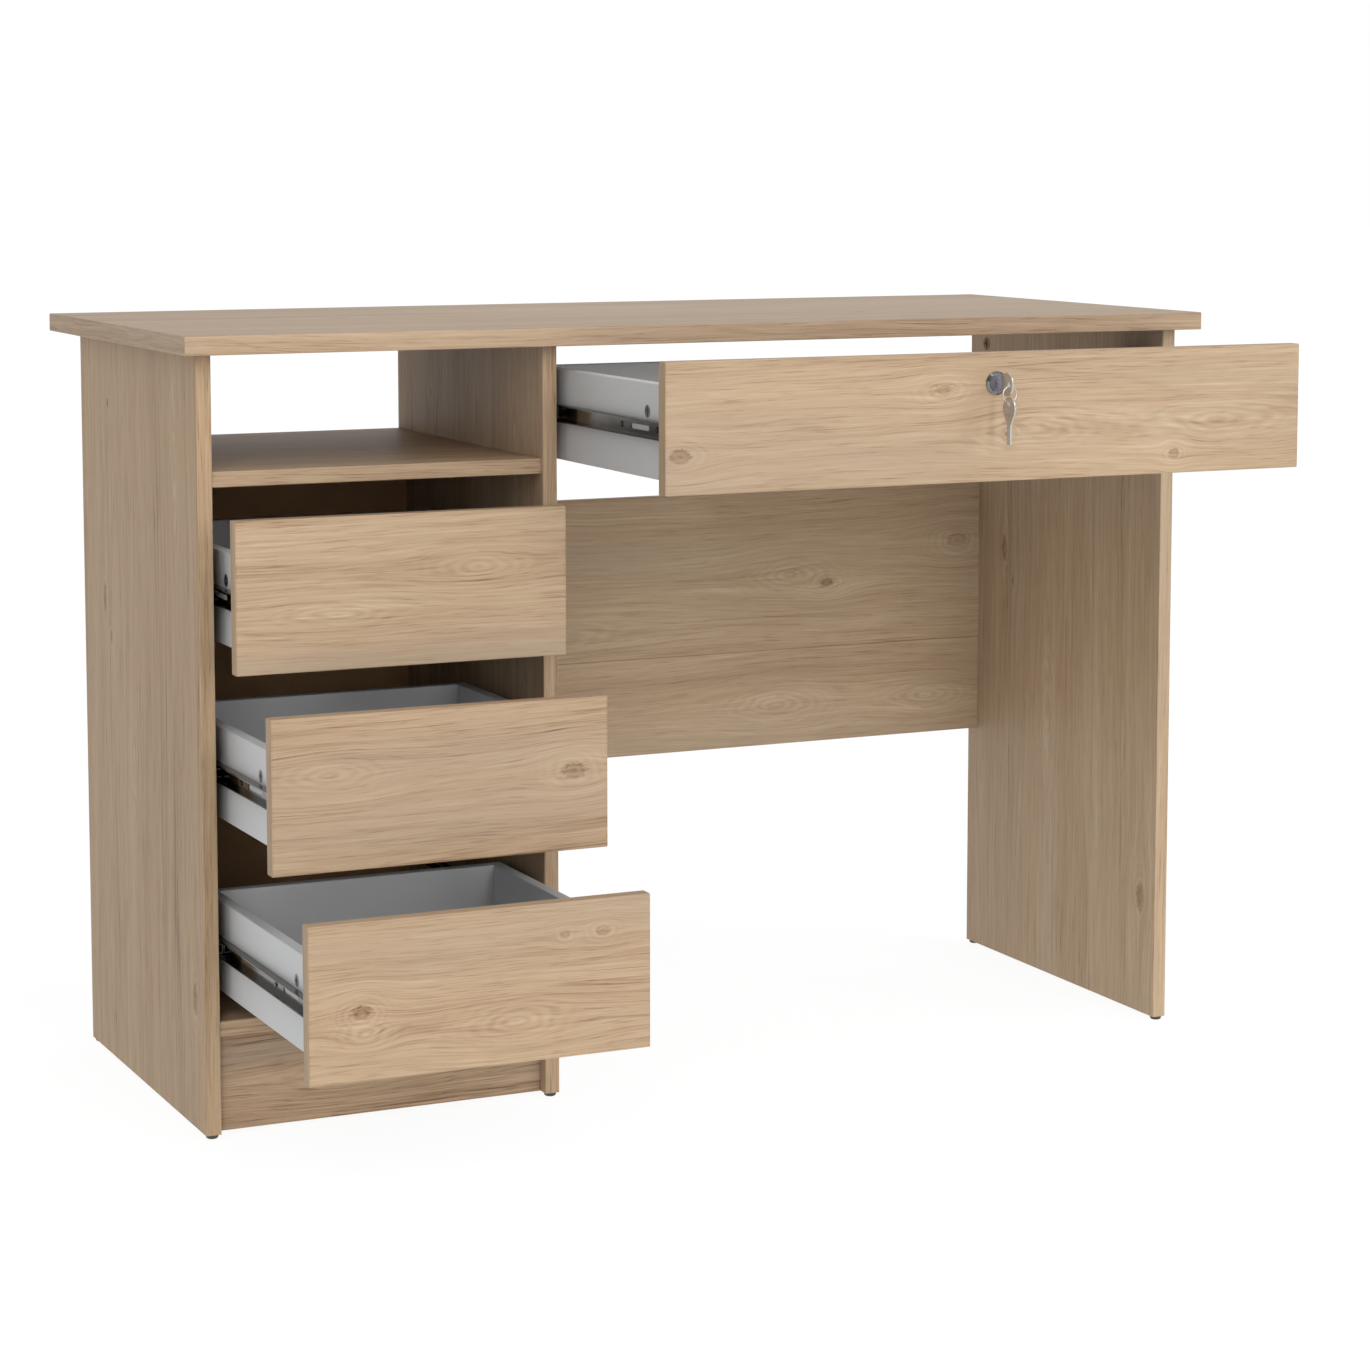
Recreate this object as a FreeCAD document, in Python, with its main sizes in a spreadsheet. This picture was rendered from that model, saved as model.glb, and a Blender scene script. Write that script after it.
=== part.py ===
import FreeCAD, Part
import os
import re

# Office desk with a drawer stack on the left, a wide locking drawer over the knee space
# and an open compartment above the stack. Every drawer stands partly open, by its own pull.
# Places are worked out from the desktop's left front corner and the floor: x to the right,
# y to the back, z up. The origin is then set below the middle of the whole object.

# Driving sizes in millimetres. They fill the sheet's cells.
SIZES = {
    # Desktop and frame
    "top_width": 1100,
    "top_depth": 484,
    "top_thickness": 18,
    "overall_height": 760,
    "board_thickness": 15,
    "side_overhang": 17,
    "front_overhang": 24,
    "rear_overhang": 57,
    "pedestal_width": 331,
    "open_bay_height": 109.5,
    "plinth_height": 93,
    "shelf_setback": 4,
    "plinth_setback": 12,
    "modesty_height": 288,
    "modesty_drop": 195,
    "modesty_inset": 6,
    "back_thickness": 3,
    "back_inset": 20,
    "groove_depth": 5,
    "edge_round": 1,
    "fit_gap": 0.1,
    "overrun": 1,
    # Feet
    "foot_height": 4,
    "foot_radius": 6,
    "foot_round": 2.5,
    "foot_inset": 6.5,
    "foot_pin_radius": 1,
    "foot_pin_length": 10,
    # Cam joints and dowels of the frame
    "cam_radius": 7.5,
    "cam_skin": 2.5,
    "cam_reach": 34.5,
    "cam_end_inset": 35,
    "cam_slot_width": 2,
    "cam_slot_depth": 1.2,
    "bolt_radius": 3.5,
    "bolt_nose": 1.5,
    "thread_radius": 2.5,
    "thread_skin": 4,
    "dowel_radius": 4,
    "dowel_edge_depth": 20,
    "dowel_skin": 5,
    "dowel_pitch": 32,
    "modesty_cam_inset": 45,
    # Drawer fronts
    "front_side_gap": 1.75,
    "grip_gap": 25,
    "lowest_front_gap": 1.5,
    "wide_top_gap": 2.5,
    # How far each drawer could still come out
    "upper_still_out": 199,
    "middle_still_out": 101.5,
    "lower_still_out": 5.5,
    "wide_still_out": 12.5,
    # Drawer boxes
    "box_board": 12,
    "box_side_height": 88,
    "box_depth": 325,
    "small_box_lift": 19.7,
    "wide_box_lift": 11.4,
    "box_bottom": 3,
    "box_bottom_lift": 8,
    "box_groove": 5,
    "box_cam_radius": 6,
    "box_cam_skin": 2,
    "box_cam_reach": 47,
    "box_cam_lift": 61.5,
    "box_bolt_radius": 2.5,
    "box_screw_radius": 1.5,
    "box_screw_length": 34,
    "box_screw_head": 3,
    "box_screw_inset": 22,
    # Slides
    "slide_gap": 12,
    "rail_height": 17,
    "rail_sheet": 1.2,
    "rail_lift": 46,
    "rail_end_gap": 1,
    "rail_back_gap": 4,
    "rail_round": 0.8,
    "flange_gap": 4,
    "cabinet_rail_length": 340,
    "ball_diameter": 2.8,
    "ball_gap": 0.05,
    "cage_gap": 0.5,
    "cage_sheet": 0.8,
    "cage_margin": 3,
    "cage_length": 54,
    "rail_screw_radius": 1.4,
    "rail_screw_length": 10,
    "screw_head_height": 1,
    "screw_slot_width": 0.8,
    "screw_slot_depth": 0.6,
    "rail_screw_first": 22,
    "rail_screw_pitch": 80,
    "cabinet_screw_pitch": 250,
    "rail_slot_start": 42,
    "rail_slot_length": 36,
    "rail_slot_width": 5,
    # Lock
    "lock_drop": 29,
    "rosette_radius": 11.25,
    "rosette_height": 3.2,
    "rosette_bevel": 2.2,
    "barrel_radius": 7.6,
    "barrel_proud": 2.6,
    "plug_radius": 5,
    "plug_gap": 0.05,
    "case_width": 38,
    "case_depth": 14,
    "case_wall": 1.2,
    "case_drop": 16,
    "case_top_gap": 3,
    "ear_width": 9,
    "ear_height": 14,
    "ear_screw_radius": 1.5,
    "ear_screw_length": 11,
    "ear_screw_head": 3,
    "ear_screw_head_height": 1.5,
    "disc_gap": 0.5,
    "disc_thickness": 2,
    "disc_rim": 0.8,
    "pin_radius": 1.5,
    "pin_slack": 0.4,
    "bolt_throw": 10,
    "bolt_width": 24,
    "bolt_thickness": 4,
    "bolt_gap": 0.6,
    "bolt_slack": 0.3,
    "strike_gap": 2,
    "strike_border": 9,
    "strike_lip": 3,
    "strike_thickness": 1,
    "strike_screw_inset": 4.5,
    "strike_screw_head": 2.5,
    "strike_screw_radius": 1.2,
    "strike_screw_length": 11,
    # Keys and ring
    "key_thickness": 2,
    "key_bow_radius": 11,
    "key_bow_round": 0.5,
    "key_offset": 20.5,
    "key_length": 45,
    "key_shank": 6.5,
    "key_hole_radius": 2.5,
    "key_hole_offset": 4.5,
    "key_shoulder_gap": 1,
    "key_groove_width": 1.6,
    "key_groove_depth": 0.4,
    "key_notch": 1.2,
    "key_notch_pitch": 3.4,
    "key_gap": 0.15,
    "ring_radius": 7.25,
    "ring_wire": 0.6,
    "ring_gap": 0.15,
}

# Counts, and the shares that limit a rounding by its wall, find edges along an axis, size a screwdriver's
# cross on its face and say where a key's bow starts to narrow, aside and below its centre.
STACK_DRAWERS = 3
BALLS_IN_A_ROW = 4
NOTCHES = 5
ROUNDING_SHARE = 0.6
ALONG_SHARE = 0.9
CROSS_SHARE = 0.62
BOW_ASIDE_SHARE = 0.87
BOW_BELOW_SHARE = 0.48
NOTCH_ANGLE = 45
LEVEL_TOLERANCE = 0.01

# Places and sizes that follow from the driving ones.
PLACES = {
    "origin_x": "top_width / 2",
    "origin_y": "(top_depth + wide_face - key_reach) / 2",
    "under_top": "overall_height - top_thickness",
    "panel_height": "under_top - foot_height",
    "panel_back": "top_depth - rear_overhang",
    "panel_depth": "panel_back - front_overhang",
    "left_inner": "side_overhang + board_thickness",
    "middle_left": "left_inner + pedestal_width",
    "middle_right": "middle_left + board_thickness",
    "right_inner": "top_width - side_overhang - board_thickness",
    "half_board": "board_thickness / 2",
    "shelf_under": "under_top - open_bay_height - board_thickness",
    "bottom_under": "foot_height + plinth_height",
    "bottom_top": "bottom_under + board_thickness",
    "shelf_front": "front_overhang + shelf_setback",
    "plinth_front": "front_overhang + plinth_setback",
    "modesty_top": "under_top - modesty_drop",
    "modesty_low": "modesty_top - modesty_height",
    "modesty_front": "panel_back - modesty_inset - board_thickness",
    "back_front": "panel_back - back_inset - back_thickness",
    "cam_depth": "board_thickness - cam_skin",
    "thread_length": "board_thickness - thread_skin",
    "dowel_face_depth": "board_thickness - dowel_skin",
    "drawer_pitch": f"(shelf_under - bottom_top - lowest_front_gap) / {STACK_DRAWERS}",
    "small_height": "drawer_pitch - grip_gap",
    "lower_low": "bottom_top + lowest_front_gap",
    "middle_low": "lower_low + drawer_pitch",
    "upper_low": "middle_low + drawer_pitch",
    "wide_height": "under_top - wide_top_gap - shelf_under",
    "wide_face": "front_overhang - wide_pull",
    "rail_start": "front_overhang + board_thickness + rail_end_gap",
    "rail_length": "box_depth - rail_end_gap - rail_back_gap",
    "flange_inside": "rail_height / 2 - rail_sheet",
    "rail_reach": "slide_gap - flange_gap",
    "cabinet_half": "flange_inside - ball_diameter - 2 * ball_gap",
    "cabinet_inside": "cabinet_half - rail_sheet",
    "cage_near": "rail_sheet + cage_gap",
    "cabinet_tip": "cage_near + cage_sheet + cage_gap",
    "ball_reach": "(cabinet_tip + rail_reach) / 2",
    "ball_level": "(flange_inside + cabinet_half) / 2",
    "cage_half": "ball_level + cage_sheet / 2",
    "cage_depth": "ball_reach + ball_diameter / 2 + cage_gap - cage_near",
    "slide_travel": "rail_length - cage_length - 2 * cage_margin",
    "upper_pull": "slide_travel - upper_still_out",
    "middle_pull": "slide_travel - middle_still_out",
    "lower_pull": "slide_travel - lower_still_out",
    "wide_pull": "slide_travel - wide_still_out",
    "rail_screw_head": "cabinet_inside - cage_gap",
    "box_cam_depth": "box_board - box_cam_skin",
    "lock_x": "(middle_right + right_inner) / 2",
    "lock_z": "under_top - wide_top_gap - lock_drop",
    "case_rise": "lock_drop - case_top_gap",
    "pin_offset": "bolt_throw / 2",
    "disc_radius": "pin_offset * sqrt(2) + pin_radius + disc_rim",
    "disc_back": "case_wall + disc_gap + disc_thickness",
    "bolt_back": "disc_back + bolt_gap + bolt_thickness",
    "barrel_face": "board_thickness + barrel_proud",
    "bolt_y": "front_overhang + board_thickness + disc_back + bolt_gap + bolt_thickness / 2",
    "strike_width": "bolt_width + 2 * strike_gap + 2 * strike_border",
    "strike_depth": "bolt_thickness + 2 * strike_gap + 2 * strike_lip",
    "key_reach": "key_offset + key_hole_offset + key_bow_radius",
    "key_blade": "key_length - key_bow_radius",
    "key_taper": "key_offset - rosette_height - key_shoulder_gap",
    "hang": "key_hole_radius - ring_wire - ring_gap",
    "hole_y": "wide_face - key_offset - key_hole_offset",
    "ring_z": "lock_z - hang - ring_radius",
    "spare_z": "ring_z - ring_radius - hang - key_hole_offset",
}

# Each drawer: the panels' faces beside it, its front's low edge and height, its pull and box lift.
STACK = ("left_inner", "middle_left")
KNEE = ("middle_right", "right_inner")
DRAWERS = {
    "upper_drawer": (STACK, "upper_low", "small_height", "upper_pull", "small_box_lift"),
    "middle_drawer": (STACK, "middle_low", "small_height", "middle_pull", "small_box_lift"),
    "lower_drawer": (STACK, "lower_low", "small_height", "lower_pull", "small_box_lift"),
    "wide_drawer": (KNEE, "shelf_under", "wide_height", "wide_pull", "wide_box_lift"),
}

AXES = {
    "+x": FreeCAD.Vector(1, 0, 0),
    "-x": FreeCAD.Vector(-1, 0, 0),
    "+y": FreeCAD.Vector(0, 1, 0),
    "-y": FreeCAD.Vector(0, -1, 0),
    "+z": FreeCAD.Vector(0, 0, 1),
    "-z": FreeCAD.Vector(0, 0, -1),
}

doc = FreeCAD.newDocument("office_desk")
nodes = []
bores = {}
placed = {}


def make_sheet():
    """Write the driving sizes into the sheet, one alias to a row."""
    sheet = doc.addObject("Spreadsheet::Sheet", "Sizes")
    for row, (alias, value) in enumerate(SIZES.items(), start=1):
        sheet.set(f"A{row}", alias)
        sheet.set(f"B{row}", str(value))
        sheet.setAlias(f"B{row}", alias)
    doc.recompute()


def formula(text):
    """Turn a sum of named sizes and places into an expression on the sheet's cells."""
    def word(match):
        name = match.group(0)
        if name in PLACES:
            return "(" + formula(PLACES[name]) + ")"
        return "Sizes." + name if name in SIZES else name
    return re.sub(r"[a-z_]+", word, text)


def bind(item, prop, text):
    """Tie a property to the sheet."""
    item.setExpression(prop, formula(text))


def bind_place(item, point):
    """Tie an object's place within its own frame to the sheet."""
    for letter, text in zip("xyz", point):
        bind(item, f"Placement.Base.{letter}", text)


def set_down(item, point):
    """Tie an object's place, measured from the desktop's corner and the floor, to the sheet."""
    x, y, z = point
    bind_place(item, (f"{x} - origin_x", f"{y} - origin_y", z))


def shift(point, axis, distance):
    """Move a point of named sizes along an axis."""
    moved = list(point)
    spot = "xyz".index(axis[1])
    moved[spot] = f"{point[spot]} {axis[0]} ({distance})"
    return tuple(moved)


def opposite(axis):
    return ("-" if axis[0] == "+" else "+") + axis[1]


def turned(z_axis, x_axis=None):
    """The rotation that points an object's z along one axis and, if given, its x along another."""
    if x_axis is None:
        return FreeCAD.Rotation(AXES["+z"], AXES[z_axis])
    across = AXES[z_axis].cross(AXES[x_axis])
    return FreeCAD.Rotation(AXES[x_axis], across, AXES[z_axis], "ZXY")


def new_body(label):
    body = doc.addObject("PartDesign::Body", label)
    body.Label = label
    return body


def keep(item):
    """Hand in an object as a node of its own."""
    nodes.append(item)
    return item


def add_box(body, kind, size, corner):
    """Add or cut a box: kind is Additive or Subtractive."""
    box = body.newObject(f"PartDesign::{kind}Box", f"{body.Label}_box")
    for prop, text in zip(("Length", "Width", "Height"), size):
        bind(box, prop, text)
    bind_place(box, corner)
    return box


def add_cylinder(body, kind, radius, height, base, axis):
    """Add or cut a round bar that starts at base and runs along axis."""
    bar = body.newObject(f"PartDesign::{kind}Cylinder", f"{body.Label}_bar")
    bar.Placement = FreeCAD.Placement(FreeCAD.Vector(), turned(axis))
    bind(bar, "Radius", radius)
    bind(bar, "Height", height)
    bind_place(bar, base)
    return bar


def cut_bore(body, entry, axis, radius, depth):
    """Bore a blind hole from a face, starting a little outside it."""
    start = shift(entry, opposite(axis), "overrun")
    add_cylinder(body, "Subtractive", radius, f"{depth} + overrun", start, axis)


def round_edges(body, feature, letters, radius):
    """Round a box's edges that run along the named axes."""
    doc.recompute()
    names = []
    for number, edge in enumerate(feature.Shape.Edges, start=1):
        tangent = edge.tangentAt(edge.FirstParameter)
        if any(abs(tangent.dot(AXES["+" + letter])) > ALONG_SHARE for letter in letters):
            names.append(f"Edge{number}")
    fillet = body.newObject("PartDesign::Fillet", f"{body.Label}_round")
    fillet.Base = (feature, names)
    bind(fillet, "Radius", radius)


def bevel_rim(body, feature, kind, level, size, prop):
    """Round or chamfer the circular rim of a feature that lies at one height along its z."""
    doc.recompute()
    names = []
    for number, edge in enumerate(feature.Shape.Edges, start=1):
        if isinstance(edge.Curve, Part.Circle) and abs(edge.Curve.Center.z - level) < LEVEL_TOLERANCE:
            names.append(f"Edge{number}")
    rim = body.newObject(f"PartDesign::{kind}", f"{body.Label}_rim")
    rim.Base = (feature, names)
    bind(rim, prop, size)


def board(label, size, corner, rounded, cuts=()):
    """A board with softened edges, its grooves, and the bores that its joints have noted for it."""
    body = new_body(label)
    box = add_box(body, "Additive", size, ("0", "0", "0"))
    round_edges(body, box, rounded, "edge_round")
    for cut_size, cut_corner in cuts:
        local = [f"{there} - ({here})" for there, here in zip(cut_corner, corner)]
        add_box(body, "Subtractive", cut_size, local)
    for entry, axis, radius, depth in bores.get(label, ()):
        local = [f"{there} - ({here})" for there, here in zip(entry, corner)]
        cut_bore(body, local, axis, radius, depth)
    set_down(body, corner)
    return keep(body)


def note_bore(label, entry, axis, radius, depth):
    bores.setdefault(label, []).append((entry, axis, radius, depth))


def place_copy(group, master, point, z_axis, x_axis=None):
    """Place a copy of a master piece and note it for its group."""
    link = doc.addObject("App::Link", f"{group}_piece")
    link.LinkedObject = master
    link.LinkTransform = False
    link.Placement = FreeCAD.Placement(FreeCAD.Vector(), turned(z_axis, x_axis))
    set_down(link, point)
    placed.setdefault(group, []).append(link)


def keep_group(label):
    """Hand in all copies of a group as one node of separate solids."""
    group = doc.addObject("Part::Compound", label)
    group.Label = label
    group.Links = placed[label]
    return keep(group)


# Master pieces of the fasteners, each with its z along its own axis.

def cut_cross(body, radius, level, width, depth):
    """Cut a screwdriver's cross into a round face that lies at one height."""
    span = f"2 * ({radius}) * {CROSS_SHARE}"
    for across, along in ((span, width), (width, span)):
        size = (across, along, f"{depth} + overrun")
        corner = (f"0 - ({across}) / 2", f"0 - ({along}) / 2", f"{level} - {depth}")
        add_box(body, "Subtractive", size, corner)


def make_cam(label, radius, depth, middle, bolt):
    """A cam lock: a disc with a side bore for the bolt's nose and a cross recess in its face."""
    body = new_body(label)
    add_cylinder(body, "Additive", radius, depth, ("0", "0", f"0 - ({depth})"), "+z")
    nose_room = f"{bolt} + fit_gap"
    cut_bore(body, (radius, "0", f"0 - ({middle})"), "-x", nose_room, f"{radius} + bolt_nose + fit_gap")
    cut_cross(body, radius, "0", "cam_slot_width", "cam_slot_depth")
    return body


def make_bolt(label, radius, reach, thread):
    """A cam bolt: its thread sits in one board, and its shank reaches the cam in the other."""
    body = new_body(label)
    add_cylinder(body, "Additive", radius, f"{reach} + bolt_nose", ("0", "0", "0"), "+z")
    narrow = f"min(thread_radius; {radius})"
    add_cylinder(body, "Additive", narrow, thread, ("0", "0", f"0 - ({thread})"), "+z")
    return body


def make_dowel():
    body = new_body("dowel")
    length = "dowel_edge_depth + dowel_face_depth"
    add_cylinder(body, "Additive", "dowel_radius", length, ("0", "0", "0 - dowel_face_depth"), "+z")
    return body


def make_foot():
    """A glide: a bowl-shaped plastic disc with a pin that is driven into the board's edge."""
    body = new_body("foot")
    disc = add_cylinder(body, "Additive", "foot_radius", "foot_height", ("0", "0", "0"), "+z")
    bevel_rim(body, disc, "Fillet", 0, f"min(foot_round; foot_height * {ROUNDING_SHARE})", "Radius")
    add_cylinder(body, "Additive", "foot_pin_radius", "foot_height + foot_pin_length", ("0", "0", "0"), "+z")
    return body


def make_screw(label, radius, length, head_radius, head_height):
    """A screw whose head stands on z = 0 and whose shank runs down from it."""
    body = new_body(label)
    add_cylinder(body, "Additive", head_radius, head_height, ("0", "0", "0"), "+z")
    add_cylinder(body, "Additive", radius, length, ("0", "0", f"0 - ({length})"), "+z")
    cut_cross(body, head_radius, head_height, "screw_slot_width", "screw_slot_depth")
    return body


def make_ball():
    body = new_body("ball")
    ball = body.newObject("PartDesign::AdditiveSphere", "ball_sphere")
    bind(ball, "Radius", "ball_diameter / 2")
    return body


# Joints of the frame. Each one notes its bores and places its fasteners.

def cam_joint(kind, groups, cam_board, bolt_board, edge, into, face):
    """A bolt enters the cam board's edge along into, and a cam crosses it from the face."""
    cam, bolt = groups
    names = CAM_KINDS[kind]
    centre = shift(edge, into, names["reach"])
    on_face = shift(centre, face, names["middle"])
    cam_radius = f"{names['cam_radius']} + fit_gap"
    note_bore(cam_board, on_face, opposite(face), cam_radius, f"{names['depth']} + fit_gap")
    note_bore(cam_board, edge, into, f"{names['bolt_radius']} + fit_gap", names["reach"])
    thread = f"min(thread_radius; {names['bolt_radius']}) + fit_gap"
    note_bore(bolt_board, edge, opposite(into), thread, "thread_length + fit_gap")
    place_copy(cam, names["cam"], on_face, face, opposite(into))
    place_copy(bolt, names["bolt"], edge, into)


def dowel_joint(edge_board, face_board, edge, into):
    """A dowel sits deep in one board's edge and shallow in the other's face."""
    note_bore(edge_board, edge, into, "dowel_radius + fit_gap", "dowel_edge_depth + fit_gap")
    note_bore(face_board, edge, opposite(into), "dowel_radius + fit_gap", "dowel_face_depth + fit_gap")
    place_copy("wood_dowels", DOWEL, edge, into)


def join_uprights():
    """Fix the desktop on the three upright boards."""
    uprights = {
        "left_side_panel": ("side_overhang + half_board", "+x"),
        "middle_panel": ("middle_left + half_board", "+x"),
        "right_side_panel": ("right_inner + half_board", "-x"),
    }
    for label, (x, face) in uprights.items():
        for y, inward in (("front_overhang", "+y"), ("panel_back", "-y")):
            edge = shift((x, y, "under_top"), inward, "cam_end_inset")
            cam_joint("frame", ("cam_locks", "cam_bolts"), label, "desktop", edge, "-z", face)
            dowel_joint(label, "desktop", shift(edge, inward, "dowel_pitch"), "-z")
            add_foot(label, shift((x, y, "foot_height"), inward, "foot_inset"))


def add_foot(label, point):
    note_bore(label, point, "+z", "foot_pin_radius + fit_gap", "foot_pin_length + fit_gap")
    x, y, z = point
    place_copy("feet", FOOT, (x, y, "0"), "+z")


def join_across(label, ends, rows, face):
    """Fix a board between two uprights: ends are the uprights and their faces, rows the bolts' places."""
    for (upright, x), into in zip(ends, ("+x", "-x")):
        for (y, z), dowel in rows:
            cam_joint("frame", ("cam_locks", "cam_bolts"), label, upright, (x, y, z), into, face)
            dowel_joint(label, upright, shift((x, y, z), dowel, "dowel_pitch"), into)


def join_cross_boards():
    """Fix the shelf, the bottom panel, the plinth and the modesty panel between the uprights."""
    stack = (("left_side_panel", "left_inner"), ("middle_panel", "middle_left"))
    knee = (("middle_panel", "middle_right"), ("right_side_panel", "right_inner"))
    for label, under in (("shelf", "shelf_under"), ("bottom_panel", "bottom_under")):
        level = f"{under} + half_board"
        front = (("shelf_front + cam_end_inset + dowel_pitch", level), "+y")
        rear = (("back_front - cam_end_inset", level), "-y")
        join_across(label, stack, (front, rear), "-z")
    plinth_row = (("plinth_front + half_board", "foot_height + plinth_height / 2 + dowel_pitch / 2"), "-z")
    join_across("plinth", stack, (plinth_row,), "+y")
    high = (("modesty_front + half_board", "modesty_top - modesty_cam_inset"), "-z")
    low = (("modesty_front + half_board", "modesty_low + modesty_cam_inset"), "+z")
    join_across("modesty_panel", knee, (high, low), "+y")


# Frame boards

def back_groove(start):
    """The groove in an upright's face that takes the hardboard's edge."""
    size = ("groove_depth + overrun", "back_thickness + 2 * fit_gap", "shelf_under - bottom_top")
    return size, (start, "back_front - fit_gap", "bottom_top")


def strike_cut(width, depth, gap, height):
    """A cut in the desktop's underside, around the place where the closed drawer's bolt comes up."""
    size = (f"{width} + 2 * {gap}", f"{depth} + 2 * {gap}", f"{height} + overrun")
    return size, (f"lock_x - {width} / 2 - {gap}", f"bolt_y - {depth} / 2 - {gap}", "under_top - overrun")


def make_frame():
    """The desktop, the uprights and the boards between them."""
    strike_seat = strike_cut("strike_width", "strike_depth", "fit_gap", "strike_thickness")
    mortise = strike_cut("bolt_width", "bolt_thickness", "strike_gap", "bolt_throw")
    slab = ("top_width", "top_depth", "top_thickness")
    board("desktop", slab, ("0", "0", "under_top"), "xyz", (strike_seat, mortise))
    upright = ("board_thickness", "panel_depth", "panel_height")
    left_groove = back_groove("left_inner - groove_depth")
    middle_groove = back_groove("middle_left - overrun")
    uprights = (
        ("left_side_panel", "side_overhang", [left_groove]),
        ("middle_panel", "middle_left", [middle_groove]),
        ("right_side_panel", "right_inner", []),
    )
    for label, x, grooves in uprights:
        board(label, upright, (x, "front_overhang", "foot_height"), "z", grooves)
    flat = ("pedestal_width", "panel_back - shelf_front", "board_thickness")
    board("shelf", flat, ("left_inner", "shelf_front", "shelf_under"), "x")
    board("bottom_panel", flat, ("left_inner", "shelf_front", "bottom_under"), "x")
    skirt = ("pedestal_width", "board_thickness", "plinth_height")
    board("plinth", skirt, ("left_inner", "plinth_front", "foot_height"), "x")
    across = ("right_inner - middle_right", "board_thickness", "modesty_height")
    board("modesty_panel", across, ("middle_right", "modesty_front", "modesty_low"), "x")
    make_back_panel()


def make_back_panel():
    """The thin hardboard behind the drawers, held in the uprights' grooves."""
    body = new_body("back_panel")
    reach = "groove_depth - fit_gap"
    size = (f"pedestal_width + 2 * ({reach})", "back_thickness", "shelf_under - bottom_top")
    add_box(body, "Additive", size, ("0", "0", "0"))
    set_down(body, (f"left_inner - ({reach})", "back_front", "bottom_top"))
    keep(body)


# Drawers

def make_drawer(label, faces, low, height, pull, lift):
    """One drawer box with its front, rails, ball cages and fasteners."""
    left, right = faces
    face = f"front_overhang - ({pull})"
    back_face = f"{face} + board_thickness"
    base = f"{low} + {lift}"
    box_left = f"{left} + slide_gap"
    box_right = f"{right} - slide_gap"
    inner_left = f"{box_left} + box_board"
    inner_width = f"{right} - ({left}) - 2 * (slide_gap + box_board)"
    groove_low = f"{base} + box_bottom_lift - fit_gap"
    groove_height = "box_bottom + 2 * fit_gap"
    tuck = "box_groove - fit_gap"
    joint_groups = (f"{label}_cam_fittings", f"{label}_cam_fittings")
    side_rows = (("left_side", box_left, "+x"), ("right_side", box_right, "-x"))
    for side, outside, inward in side_rows:
        middle = shift((outside, back_face, f"{base} + box_cam_lift"), inward, "box_board / 2")
        cam_joint("box", joint_groups, f"{label}_{side}", f"{label}_front", middle, "+y", opposite(inward))
        fix_back(label, side, outside, inward, back_face, base)
        add_slide(label, side, faces, inward, (back_face, base), pull)
    front_size = (f"{right} - ({left}) - 2 * front_side_gap", "board_thickness", height)
    front_cuts = [(
        (f"{inner_width} + 2 * box_groove", "box_groove + overrun", groove_height),
        (f"{inner_left} - box_groove", f"{back_face} - box_groove", groove_low),
    )]
    board(f"{label}_front", front_size, (f"{left} + front_side_gap", face, low), "xyz", front_cuts)
    side_size = ("box_board", "box_depth", "box_side_height")
    groove_size = ("box_groove", "box_depth + 2 * overrun", groove_height)
    left_groove = (groove_size, (f"{inner_left} - box_groove", f"{back_face} - overrun", groove_low))
    board(f"{label}_left_side", side_size, (box_left, back_face, base), "y", (left_groove,))
    inner_right = f"{box_right} - box_board"
    right_groove = (groove_size, (inner_right, f"{back_face} - overrun", groove_low))
    board(f"{label}_right_side", side_size, (inner_right, back_face, base), "y", (right_groove,))
    back_low = f"{base} + box_bottom_lift + box_bottom"
    back_size = (inner_width, "box_board", "box_side_height - box_bottom_lift - box_bottom")
    board(f"{label}_back", back_size, (inner_left, f"{back_face} + box_depth - box_board", back_low), "x")
    bottom = new_body(f"{label}_bottom")
    bottom_size = (f"{inner_width} + 2 * ({tuck})", f"box_depth + {tuck}", "box_bottom")
    add_box(bottom, "Additive", bottom_size, ("0", "0", "0"))
    set_down(bottom, (f"{inner_left} - ({tuck})", f"{back_face} - ({tuck})", f"{base} + box_bottom_lift"))
    keep(bottom)
    for group in ("rails", "ball_cages", "cam_fittings", "screws"):
        keep_group(f"{label}_{group}")


def fix_back(label, side, outside, inward, back_face, base):
    """Two screws through a side into the back board's end."""
    rise = "box_bottom_lift + box_bottom"
    for level in (f"{base} + {rise} + box_screw_inset", f"{base} + box_side_height - box_screw_inset"):
        spot = (outside, f"{back_face} + box_depth - box_board / 2", level)
        seat = shift(spot, inward, "screw_head_height")
        note_bore(f"{label}_{side}", spot, inward, "box_screw_head + fit_gap", "screw_head_height")
        note_bore(f"{label}_{side}", seat, inward, "box_screw_radius + fit_gap", "box_board")
        end = shift(spot, inward, "box_board")
        depth = "box_screw_length + screw_head_height - box_board + fit_gap"
        note_bore(f"{label}_back", end, inward, "box_screw_radius + fit_gap", depth)
        place_copy(f"{label}_screws", BOX_SCREW, seat, opposite(inward))


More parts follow.
